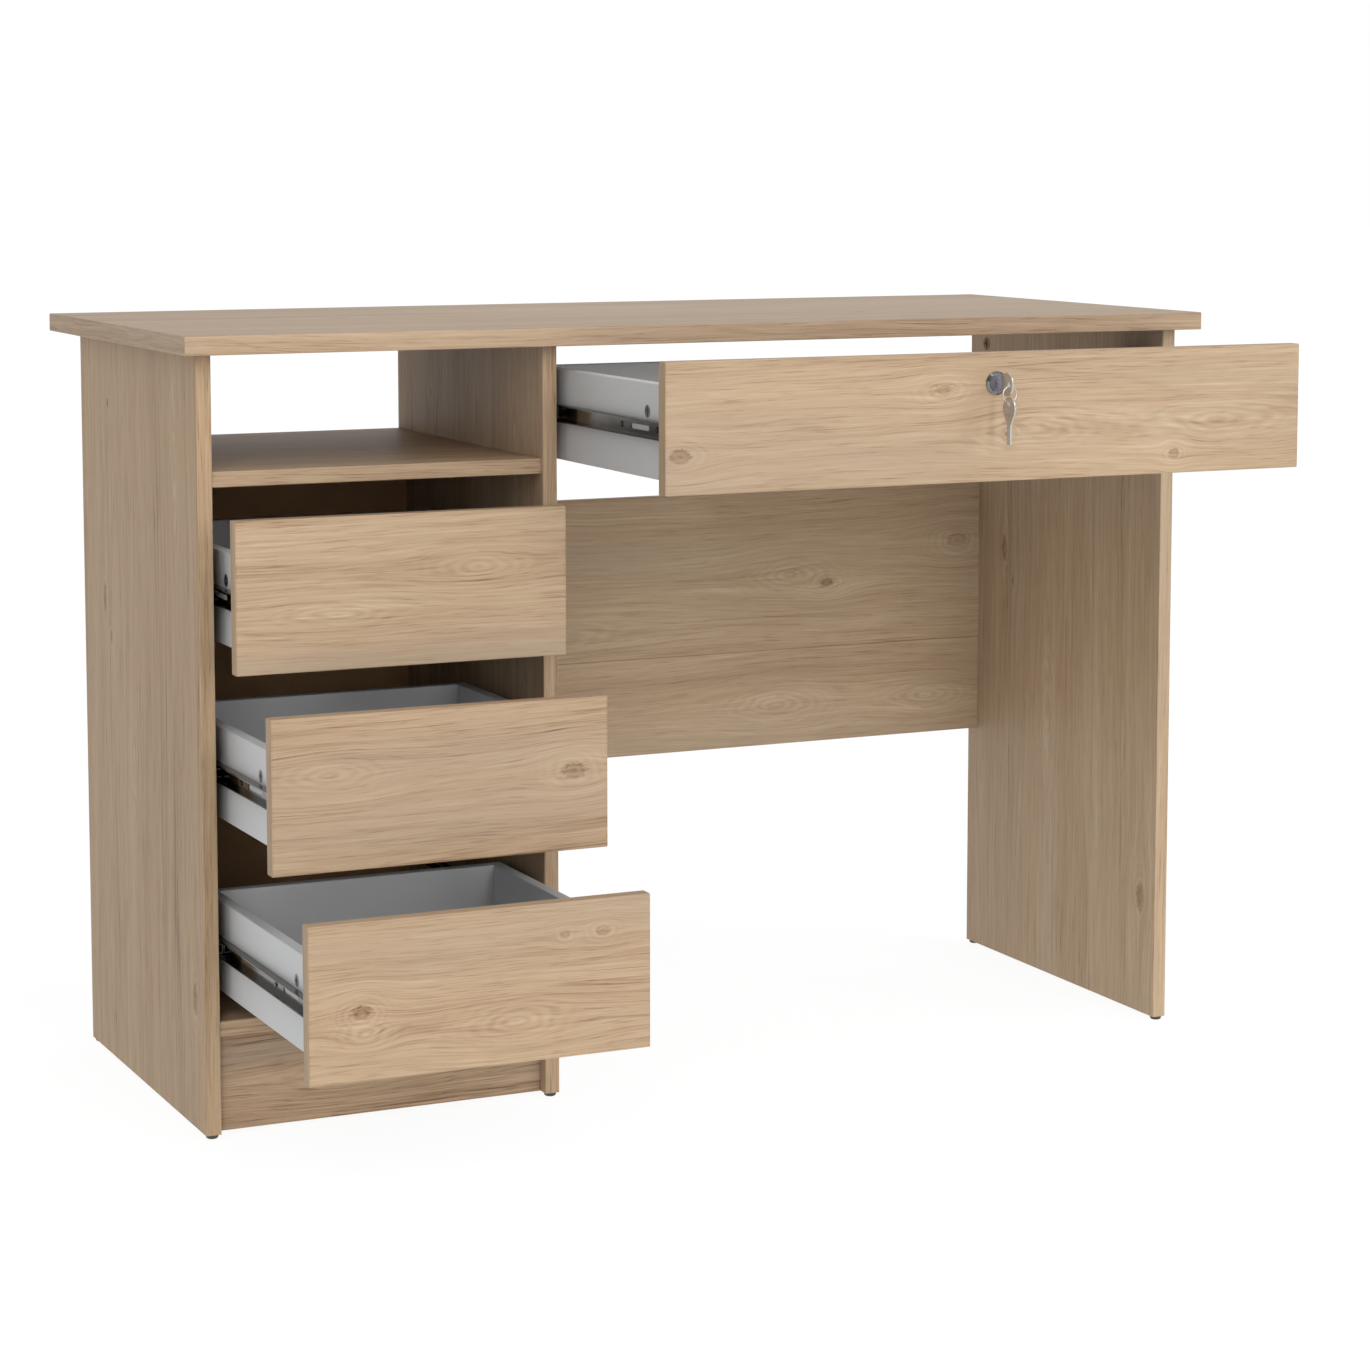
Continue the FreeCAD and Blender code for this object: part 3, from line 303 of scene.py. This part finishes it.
# Colours by tone, from 0 to 1, and the colours that are mixed in by patches.
OAK_STOPS = (
    (0.00, paint(72, 47, 31)),
    (0.20, paint(108, 82, 59)),
    (0.42, paint(140, 116, 91)),
    (0.60, paint(156, 132, 106)),
    (0.78, paint(167, 145, 118)),
    (1.00, paint(180, 161, 136)),
)
OAK_GREY = paint(147, 134, 117)
OAK_ROSE = paint(164, 135, 112)
KNOT_BROWN = paint(124, 99, 68)
GREYNESS = Patches(Weave(1.3, 14.0, 12.0), 0.42, 0.75)
ROSINESS = Patches(Weave(2.6, 75.0, 16.0), 0.45, 0.70)
ROSE_SHARE = 0.15
BROWN_SHARE = 0.45

# What sets single boards apart: tone, tint and share of grey, where the tones are painted light and shade.
OAK_TONE = 0.62
# Painted light and shade: the modesty panel, the right side panel and three drawer fronts are made lighter
# as painted light, and the plinth darker as painted shade.
PAINTED_LIGHT_AND_SHADE_TONES = {
    "modesty_panel": 0.75,
    "right_side_panel": 0.75,
    "plinth": 0.47,
    "upper_drawer_front": 0.66,
    "lower_drawer_front": 0.67,
    "wide_drawer_front": 0.68,
}
BOARD_TINTS = {"left_side_panel": (1.0, 0.99, 0.94, 1.0)}
GREY_SHARE = 0.35
GREY_SHARES = {
    "left_side_panel": 0.05,
    "shelf": 0.10,
    "plinth": 0.80,
    "upper_drawer_front": 0.45,
    "lower_drawer_front": 0.45,
    "wide_drawer_front": 0.45,
}

# Layers of noise that move the tone, coarse to fine. The last two also make the sheen and the relief.
OAK_LAYERS = (
    Layer(Weave(0.9, 14.0, 4.0), 0.28),
    Layer(Weave(1.8, 46.0, 5.0), 0.28),
    Layer(Weave(3.4, 150.0, 6.0), 0.36),
    Layer(Weave(8.0, 420.0, 7.0), 0.48),
    Layer(Weave(18.0, 1000.0, 8.0), 0.50),
)
CLOUDS = Layer(Weave(2.0, 7.0, 10.0), 0.16)
PORES = Patches(Weave(11.0, 330.0, 11.0, 1.0), 0.62, 0.74)
HAIRS = Patches(Weave(34.0, 620.0, 15.0, 1.0), 0.56, 0.70)

# How far each kind of mark moves the tone.
MARK_TONES = {
    "late lines": -0.20,
    "rings": -0.09,
    "pale eyes": 0.05,
    "pores": -0.14,
    "hairs": -0.15,
    "stains": -1.05,
    "edge line": -0.10,
    "seams": -0.34,
}

# The flow of the grain: slow waves and small ripples move it sideways by so many metres.
WAVES = Layer(Weave(1.4, 6.0, 1.0, 1.0), 0.034)
RIPPLES = Layer(Weave(7.0, 36.0, 2.0, 1.0), 0.006)

# Late lines show where a weave passes its middle, within this band.
LATE_WEAVE = Weave(0.7, 40.0, 8.0)
LATE_BAND = 0.016
LATE_SHOWN = Patches(Weave(3.0, 30.0, 9.0), 0.46, 0.62)

# The eye round a knot or swirl. A knot's eye is larger than the knot by its reach. The lines give way by a
# share of their distance, the falls say how fast the eye and its pale middle end, and the rings lie a pitch
# apart, in metres, and wander by so many radians.
KNOT_REACH = 2.6
EYE_SHARE = 0.75
EYE_FALL = 0.5
PALE_FALL = 0.6
RING_PITCH = 0.0050
RING_WANDER = Layer(Weave(11.0, 45.0, 14.0), 22.0)

# A knot, by the squared distance from its centre in half axes, which is made ragged: where its core ends,
# where its rim lies and how sharp that is. The rim is heavier above, and a crack runs through the middle.
KNOT_RAGGED = Layer(Weave(240.0, 700.0, 3.0), 3.6)
CORE_LOW = 1.6
CORE_HIGH = 3.2
RIM_MIDDLE = 2.5
RIM_SHARPNESS = 1.4
RIM_DARK = 0.17
RIM_DARK_ABOVE = 0.26
RIM_LOW_SHARE = -1.2
CRACK_LENGTH_SHARE = 1.2
CRACK_WIDTH_SHARE = 0.3
CRACK_DARK = 0.40

# Joints between planks, and the line between a face and the band on the board's edges, in metres.
SEAM_WIDTH = 0.0015
SEAM_STRENGTH = Patches(Weave(3.5, 20.0, 13.0), 0.25, 0.55)
EDGE_BAND = 0.0013
EDGE_LINE = 0.0005

# The least cosine between a normal and an axis that counts as facing along it.
SIDE_COSINE = 0.7

# Sheen and relief.
OAK_SPECULAR = 0.20
DESKTOP_SPECULAR = 0.36
OAK_SHEEN = Sheen(0.42, 0.16)
OAK_RELIEF = Relief(0.16, 0.0004)
PORE_DEPTH_SHARE = -0.8
FINE_GRAIN_SHARE = 0.5


class Oak(Finish):
    """The printed oak decor of one board."""

    def __init__(self, label):
        super().__init__(f"oak_{label}")
        self.axes = BOARD_AXES[label]
        self.limits = dict(zip("xyz", zip(*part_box(label))))
        self.seed = BOARD_SEED_STEP * list(BOARD_AXES).index(label)
        self.lay_out()
        self.split_planks(SEAM_SHARES.get(label, ()))
        self.follow_figure(FIGURES[label])
        self.layers = [self.flowing(layer.weave) for layer in OAK_LAYERS]
        self.pores = self.patches(PORES)
        # The tone holds painted light or shade for the boards that have tones of their own.
        colour = self.ramp(self.find_tone(PAINTED_LIGHT_AND_SHADE_TONES.get(label, OAK_TONE)), OAK_STOPS)
        colour = self.mix_in(colour, GREY_SHARES.get(label, GREY_SHARE))
        if label in BOARD_TINTS:
            colour = self.blend(1.0, colour, BOARD_TINTS[label], "MULTIPLY")
        self.set(Base_Color=colour)
        self.set(Specular_IOR_Level=DESKTOP_SPECULAR if label == "desktop" else OAK_SPECULAR)
        self.raise_grain()

    def lay_out(self):
        """Run the grain along each face: edges and ends follow their own longer side."""
        grain, across, through = self.axes
        here = self.read("Object")
        tilt = {letter: self.calc("ABSOLUTE", turn) for letter, turn in self.read("Normal").items()}
        on_end = self.calc("GREATER_THAN", tilt[grain], SIDE_COSINE)
        self.on_face = self.calc("GREATER_THAN", tilt[through], SIDE_COSINE)
        to_across = self.calc("SUBTRACT", here[across], here[grain])
        self.along = self.calc("MULTIPLY_ADD", on_end, to_across, here[grain])
        to_face = self.calc("SUBTRACT", here[across], here[through])
        self.across = self.calc("MULTIPLY_ADD", self.on_face, to_face, here[through])
        self.here = here

    def place(self, letter, share):
        """A place on the board, as a share of its size along an axis."""
        low, high = self.limits[letter]
        return low + share * (high - low)

    def split_planks(self, shares):
        """Find the joints between the printed planks, and count the planks across the board."""
        self.joints = 0.0
        self.plank = 0.0
        for share in shares:
            offset = self.calc("SUBTRACT", self.across, self.place(self.axes[1], share))
            mark = self.fall(self.calc("ABSOLUTE", offset), 0.0, SEAM_WIDTH)
            self.joints = self.calc("MULTIPLY_ADD", mark, self.on_face, self.joints)
            self.plank = self.calc("ADD", self.calc("GREATER_THAN", offset, 0.0), self.plank)

    def stretched(self, weave, across):
        """A weave's noise, by a coordinate across the grain."""
        spot = self.spot(
            self.calc("MULTIPLY", self.along, weave.along),
            self.calc("MULTIPLY", across, weave.across),
            self.calc("MULTIPLY_ADD", self.plank, PLANK_SEED_STEP, self.seed + weave.seed),
        )
        return self.noise(spot, detail=weave.detail)

    def straight(self, weave):
        """A weave that runs straight along the board."""
        return self.stretched(weave, self.across)

    def flowing(self, weave):
        """A weave that follows the flow of the grain."""
        return self.stretched(weave, self.flow)

    def patches(self, patches):
        """The places where a flowing weave is high."""
        return self.rise(self.flowing(patches.weave), patches.low, patches.high)

    def ellipse(self, offset, length, width):
        """The squared distance from a centre in units of an ellipse's half axes."""
        first = self.square(self.calc("MULTIPLY", offset[0], 1 / length))
        second = self.square(self.calc("MULTIPLY", offset[1], 1 / width))
        return self.calc("ADD", first, second)

    def follow_figure(self, knots):
        """The flow of the grain: lines across the board, bent by slow waves and parted round knots."""
        bends = [self.swing(self.straight(bend.weave), bend.amount) for bend in (WAVES, RIPPLES)]
        self.flow = self.total(self.across, *bends)
        self.stain = 0.0
        self.core = 0.0
        self.rings = 0.0
        self.pale = 0.0
        self.ragged = self.straight(KNOT_RAGGED.weave)
        self.wander = self.straight(RING_WANDER.weave)
        grain, across, _ = self.axes
        for knot in knots:
            offset = (
                self.calc("SUBTRACT", self.along, self.place(grain, knot.along_share)),
                self.calc("SUBTRACT", self.across, self.place(across, knot.across_share)),
            )
            is_swirl = knot.dark == 0
            reach = 1.0 if is_swirl else KNOT_REACH
            self.part_grain(offset, knot.length * reach, knot.width * reach)
            if not is_swirl:
                self.stain_knot(knot, offset)

    def part_grain(self, offset, length, width):
        """Lead the lines round a centre like the lids of an eye, with growth rings inside."""
        spread = self.ellipse(offset, length, width)
        eye = self.hill(self.calc("MULTIPLY", spread, EYE_FALL))
        shift = self.calc("MULTIPLY", self.calc("MULTIPLY", offset[1], -EYE_SHARE), eye)
        self.flow = self.calc("ADD", shift, self.flow)
        turns = self.calc("MULTIPLY", self.calc("SQRT", spread), math.tau * width / RING_PITCH)
        line = self.calc("SINE", self.calc("MULTIPLY_ADD", self.wander, RING_WANDER.amount, turns))
        self.rings = self.calc("MULTIPLY_ADD", line, self.hill(spread), self.rings)
        self.pale = self.calc("ADD", self.hill(self.calc("MULTIPLY", spread, PALE_FALL)), self.pale)

    def stain_knot(self, knot, offset):
        """A knot's brown core, its dark rim, heavier above, and the crack that runs along the grain."""
        spread = self.ellipse(offset, knot.length, knot.width)
        near = self.calc("MULTIPLY_ADD", self.ragged, KNOT_RAGGED.amount, spread)
        core = self.fall(near, CORE_LOW, CORE_HIGH)
        rim = self.hill(self.square(self.scaled(near, RIM_MIDDLE, RIM_SHARPNESS)))
        above = self.rise(offset[1], RIM_LOW_SHARE * knot.width, knot.width)
        along_crack = self.ellipse(offset, CRACK_LENGTH_SHARE * knot.length, CRACK_WIDTH_SHARE * knot.width)
        crack = self.hill(self.calc("ADD", along_crack, self.ragged))
        mark = self.total(
            self.calc("MULTIPLY", rim, RIM_DARK),
            self.calc("MULTIPLY", self.calc("MULTIPLY", rim, above), RIM_DARK_ABOVE),
            self.calc("MULTIPLY", crack, CRACK_DARK),
        )
        self.stain = self.calc("MULTIPLY_ADD", mark, knot.dark, self.stain)
        self.core = self.calc("MULTIPLY_ADD", core, knot.dark, self.core)

    def late_lines(self):
        """Fine dark lines that follow the flow for a while and fade out."""
        off_line = self.calc("ABSOLUTE", self.calc("SUBTRACT", self.flowing(LATE_WEAVE), NOISE_MIDDLE))
        return self.calc("MULTIPLY", self.fall(off_line, 0.0, LATE_BAND), self.patches(LATE_SHOWN))

    def inset(self, letter):
        """How far a point lies inside the board's nearer end along an axis."""
        low, high = self.limits[letter]
        from_middle = self.calc("ABSOLUTE", self.calc("SUBTRACT", self.here[letter], (low + high) / 2))
        return self.calc("SUBTRACT", (high - low) / 2, from_middle)

    def edge_line(self):
        """The fine joint between a face's decor and the band on the board's edges."""
        grain, across, _ = self.axes
        nearest = self.calc("MINIMUM", self.inset(grain), self.inset(across))
        off_line = self.calc("ABSOLUTE", self.calc("SUBTRACT", nearest, EDGE_BAND))
        return self.calc("MULTIPLY", self.fall(off_line, 0.0, EDGE_LINE), self.on_face)

    def seams(self):
        """Thin dark joints between the printed planks, stronger here and weaker there."""
        noise = self.straight(SEAM_STRENGTH.weave)
        return self.calc("MULTIPLY", self.joints, self.rise(noise, SEAM_STRENGTH.low, SEAM_STRENGTH.high))

    def find_tone(self, tone):
        """How light the decor is: the board's tone, which for some boards holds painted light or shade,
        moved by the layers of noise and by the marks.
        """
        for noise, layer in zip(self.layers, OAK_LAYERS):
            tone = self.calc("ADD", self.swing(noise, layer.amount), tone)
        tone = self.calc("ADD", self.swing(self.straight(CLOUDS.weave), CLOUDS.amount), tone)
        marks = {
            "late lines": self.late_lines(),
            "rings": self.rings,
            "pale eyes": self.pale,
            "pores": self.pores,
            "hairs": self.patches(HAIRS),
            "stains": self.stain,
            "edge line": self.edge_line(),
            "seams": self.seams(),
        }
        for kind, amount in MARK_TONES.items():
            tone = self.calc("MULTIPLY_ADD", marks[kind], amount, tone)
        return self.calc("MAXIMUM", tone, 0.0)

    def mix_in(self, colour, grey_share):
        """Grey and rosy patches, and the brown of the knots' cores."""
        greyed = self.calc("MULTIPLY", self.patches(GREYNESS), grey_share)
        colour = self.blend(greyed, colour, OAK_GREY)
        rosy = self.calc("MULTIPLY", self.patches(ROSINESS), ROSE_SHARE)
        colour = self.blend(rosy, colour, OAK_ROSE)
        browned = self.calc("MINIMUM", self.calc("MULTIPLY", self.core, BROWN_SHARE), 1.0)
        return self.blend(browned, colour, KNOT_BROWN)

    def raise_grain(self):
        """Sheen and relief from the finer layers and the pores."""
        fine, finest = self.layers[-2:]
        self.roughen(fine, OAK_SHEEN)
        height = self.total(
            fine,
            self.calc("MULTIPLY", self.pores, PORE_DEPTH_SHARE),
            self.calc("MULTIPLY", finest, FINE_GRAIN_SHARE),
        )
        self.bump(height, OAK_RELIEF)


# Drawer foil

FOIL_STOPS = ((0.0, paint(174, 175, 176)), (1.0, paint(188, 189, 190)))
FOIL_MOTTLE = Speckle(14.0, 3.0, 0.5)
FOIL_SPECKS = Speckle(2600.0, 1.0, 0.35)
FOIL_PEEL = Speckle(900.0, 2.0)
FOIL_SHEEN = Sheen(0.36, 0.12)
FOIL_SPECULAR = 0.45
FOIL_RELIEF = Relief(0.10, 0.0002)


def make_foil(name):
    """The pale grey foil of the drawer boxes, with a faint orange-peel relief."""
    finish = Finish(name)
    mottle = finish.speckle(FOIL_MOTTLE)
    specks = finish.speckle(FOIL_SPECKS)
    tone = finish.mottled((mottle, FOIL_MOTTLE.amount), (specks, FOIL_SPECKS.amount))
    finish.set(Base_Color=finish.ramp(tone, FOIL_STOPS))
    finish.set(Specular_IOR_Level=FOIL_SPECULAR)
    finish.roughen(mottle, FOIL_SHEEN)
    finish.bump(finish.speckle(FOIL_PEEL), FOIL_RELIEF)
    return finish.material


# Hardboard

HARDBOARD_STOPS = ((0.0, paint(138, 102, 68)), (1.0, paint(182, 143, 101)))
HARDBOARD_FIBRES = Speckle(420.0, 4.0, 0.8, 0.7, 1.5)
HARDBOARD_CLOUDS = Speckle(12.0, 2.0, 0.4)
HARDBOARD_FLECKS = Speckle(700.0, 1.0, -0.3)
FLECK_LOW = 0.62
FLECK_HIGH = 0.72
HARDBOARD_ROUGHNESS = 0.75
HARDBOARD_RELIEF = Relief(0.35, 0.0004)


def make_hardboard(name):
    """Raw brown hardboard: short fibres and darker flecks."""
    finish = Finish(name)
    fibres = finish.speckle(HARDBOARD_FIBRES)
    clouds = finish.speckle(HARDBOARD_CLOUDS)
    flecks = finish.rise(finish.speckle(HARDBOARD_FLECKS), FLECK_LOW, FLECK_HIGH)
    tone = finish.mottled((fibres, HARDBOARD_FIBRES.amount), (clouds, HARDBOARD_CLOUDS.amount))
    tone = finish.calc("MULTIPLY_ADD", flecks, HARDBOARD_FLECKS.amount, tone)
    finish.set(Base_Color=finish.ramp(tone, HARDBOARD_STOPS))
    finish.set(Roughness=HARDBOARD_ROUGHNESS)
    finish.bump(fibres, HARDBOARD_RELIEF)
    return finish.material


# Beech

BEECH_STOPS = ((0.3, paint(176, 138, 98)), (0.7, paint(206, 172, 130)))
BEECH_FLECKS = Speckle(600.0, 3.0)
BEECH_ROUGHNESS = 0.6
BEECH_RELIEF = Relief(0.2, 0.0003)


def make_beech(name):
    """Raw beech for the dowels: pale, with small dark flecks."""
    finish = Finish(name)
    flecks = finish.speckle(BEECH_FLECKS)
    finish.set(Base_Color=finish.ramp(flecks, BEECH_STOPS))
    finish.set(Roughness=BEECH_ROUGHNESS)
    finish.bump(flecks, BEECH_RELIEF)
    return finish.material


# Dark plastic

PLASTIC_STOPS = ((0.0, paint(38, 33, 29)), (1.0, paint(66, 58, 51)))
PLASTIC_SCUFFS = Speckle(120.0, 3.0, 0.9)
PLASTIC_GRAIN = Speckle(1800.0, 2.0, 0.3)
PLASTIC_SHEEN = Sheen(0.42, 0.2)
PLASTIC_RELIEF = Relief(0.25, 0.0002)


def make_plastic(name):
    """Dark moulded plastic with a fine spark-eroded grain."""
    finish = Finish(name)
    scuffs = finish.speckle(PLASTIC_SCUFFS)
    grain = finish.speckle(PLASTIC_GRAIN)
    tone = finish.mottled((scuffs, PLASTIC_SCUFFS.amount), (grain, PLASTIC_GRAIN.amount))
    finish.set(Base_Color=finish.ramp(tone, PLASTIC_STOPS))
    finish.roughen(scuffs, PLASTIC_SHEEN)
    finish.bump(grain, PLASTIC_RELIEF)
    return finish.material


# Metals

# A metal: its darkest and lightest colour, drawn marks per metre, its roughness, how strong the relief of
# its marks is, and how metallic its plating is.
Metal = namedtuple("Metal", "dark light marks roughness relief_share metallic", defaults=(0.06, 1.0))
METALS = {
    "zinc_steel": Metal(paint(70, 68, 66), paint(112, 109, 105), 3000.0, 0.15),
    "case_steel": Metal(paint(150, 150, 151), paint(188, 188, 189), 2200.0, 0.32),
    "dark_zinc": Metal(paint(112, 112, 111), paint(142, 142, 140), 900.0, 0.40, 0.2),
    "bronzed_zinc": Metal(paint(92, 68, 46), paint(120, 92, 66), 900.0, 0.45, 0.2),
    "chrome": Metal(paint(112, 112, 113), paint(140, 140, 141), 4000.0, 0.05, 0.01),
    "satin_zinc": Metal(paint(98, 95, 108), paint(122, 119, 132), 2500.0, 0.32, 0.05),
    "nickel": Metal(paint(166, 163, 158), paint(204, 202, 197), 3500.0, 0.14, 0.03, 0.75),
}

# Drawn marks: how much longer than wide they are, their octaves of detail, how far they move the tone, and
# the height of their relief in metres. The sheen is in shares of the metal's roughness.
MARK_STRETCH = 40.0
MARK_DETAIL = 3.0
MARK_SWING = 0.6
MARK_HEIGHT = 0.0002
PLATING_DRIFT = Speckle(60.0, 2.0, 0.8)
METAL_SHEEN_SHARES = Sheen(0.7, 0.6)


def make_metal(name):
    """A metal with drawn marks along y, and a slow drift in its plating."""
    metal = METALS[name]
    finish = Finish(name)
    here = finish.read("Object")
    drawn = finish.spot(
        finish.calc("MULTIPLY", here["x"], metal.marks),
        finish.calc("MULTIPLY", here["y"], metal.marks / MARK_STRETCH),
        finish.calc("MULTIPLY", here["z"], metal.marks),
    )
    marks = finish.noise(drawn, detail=MARK_DETAIL)
    drift = finish.speckle(PLATING_DRIFT)
    tone = finish.mottled((marks, MARK_SWING), (drift, PLATING_DRIFT.amount))
    finish.set(Base_Color=finish.ramp(tone, ((0.0, metal.dark), (1.0, metal.light))))
    finish.set(Metallic=metal.metallic)
    finish.roughen(marks, Sheen(*(metal.roughness * share for share in METAL_SHEEN_SHARES)))
    finish.bump(marks, Relief(metal.relief_share, MARK_HEIGHT))
    return finish.material


# Which finish each piece has

DRAWER_FINISHES = {
    "left_side": "drawer_foil",
    "right_side": "drawer_foil",
    "back": "drawer_foil",
    "bottom": "drawer_foil",
    "rails": "zinc_steel",
    "screws": "zinc_steel",
    "ball_cages": "case_steel",
    "cam_fittings": "dark_zinc",
}
FITTING_FINISHES = {
    "cabinet_rails": "zinc_steel",
    "carcass_screws": "zinc_steel",
    "cam_bolts": "zinc_steel",
    "cam_locks": "bronzed_zinc",
    "strike_plate": "case_steel",
    "lock_bolt": "case_steel",
    "lock_case": "satin_zinc",
    "lock_rosette": "chrome",
    "lock_plug": "satin_zinc",
    "key": "nickel",
    "key_ring": "nickel",
    "spare_key": "nickel",
    "back_panel": "hardboard",
    "wood_dowels": "beech",
    "feet": "dark_plastic",
}
MAKERS = {name: make_metal for name in METALS}
MAKERS.update({
    "drawer_foil": make_foil,
    "hardboard": make_hardboard,
    "beech": make_beech,
    "dark_plastic": make_plastic,
})


def dress_boards():
    for label in BOARD_AXES:
        dress(label, Oak(label).material)


def dress_fittings():
    materials = {name: make(name) for name, make in MAKERS.items()}
    for drawer in DRAWERS:
        for piece, name in DRAWER_FINISHES.items():
            dress(f"{drawer}_{piece}", materials[name])
    for label, name in FITTING_FINISHES.items():
        dress(label, materials[name])


# Studio

def make_floor():
    """A wide pale floor that fades into the horizon's light."""
    half = FLOOR_SIZE / 2
    corners = [(-half, -half, 0), (half, -half, 0), (half, half, 0), (-half, half, 0)]
    mesh = bpy.data.meshes.new("floor")
    mesh.from_pydata(corners, [], [(0, 1, 2, 3)])
    floor = bpy.data.objects.new("floor", mesh)
    bpy.context.scene.collection.objects.link(floor)
    finish = Finish("floor_paint")
    finish.set(Base_Color=FLOOR_COLOUR)
    finish.set(Roughness=FLOOR_ROUGHNESS)
    finish.set(Specular_IOR_Level=0.0)
    finish.set(Emission_Color=WHITE)
    finish.set(Emission_Strength=FLOOR_GLOW)
    mesh.materials.append(finish.material)


def make_sky():
    """A broad soft light: softboxes in front of the desk, little from its left, and a white backdrop."""
    world = bpy.data.worlds.new("studio")
    bpy.context.scene.world = world
    world.use_nodes = True
    sky = Graph(world.node_tree)
    towards = sky.read("Generated")
    turn = sky.calc("MULTIPLY", sky.calc("ARCTAN2", towards["x"], towards["y"]), SOFTBOX_COUNT)
    lit = sky.rise(sky.calc("SINE", turn), -SOFTBOX_EDGE, SOFTBOX_EDGE)
    softbox = sky.calc("MULTIPLY_ADD", lit, SOFTBOX_BRIGHT - SOFTBOX_DARK, SOFTBOX_DARK)
    light = 0.0
    for letter, sign, level in (
        ("y", -1.0, sky.calc("MULTIPLY", softbox, FRONT_LIGHT)),
        ("y", 1.0, BACK_LIGHT),
        ("x", 1.0, RIGHT_LIGHT),
        ("z", 1.0, OVERHEAD_LIGHT),
    ):
        share = sky.rise(sky.calc("MULTIPLY", towards[letter], sign), 0.0, 1.0)
        light = sky.calc("MULTIPLY_ADD", share, level, light)
    path = sky.tree.nodes.new("ShaderNodeLightPath")
    to_white = sky.calc("SUBTRACT", 1.0, light)
    light = sky.calc("MULTIPLY_ADD", path.outputs["Is Camera Ray"], to_white, light)
    backdrop = world.node_tree.nodes["Background"]
    sky.feed(backdrop.inputs["Strength"], light)
    sky.feed(backdrop.inputs["Color"], WHITE)


def make_camera():
    """The photograph's view. With no rotation, a camera looks straight down."""
    view = bpy.data.cameras.new("camera")
    view.lens = CAMERA_LENS
    view.sensor_width = SENSOR_WIDTH
    view.shift_y = CAMERA_SHIFT_SHARE
    camera = bpy.data.objects.new("camera", view)
    camera.location = CAMERA_PLACE
    tilt = math.pi / 2 - math.radians(CAMERA_PITCH)
    camera.rotation_euler = (tilt, 0, math.radians(-CAMERA_YAW))
    bpy.context.scene.collection.objects.link(camera)
    bpy.context.scene.camera = camera
    bpy.context.scene.view_settings.view_transform = "Standard"


make_camera()
make_floor()
make_sky()
dress_boards()
dress_fittings()
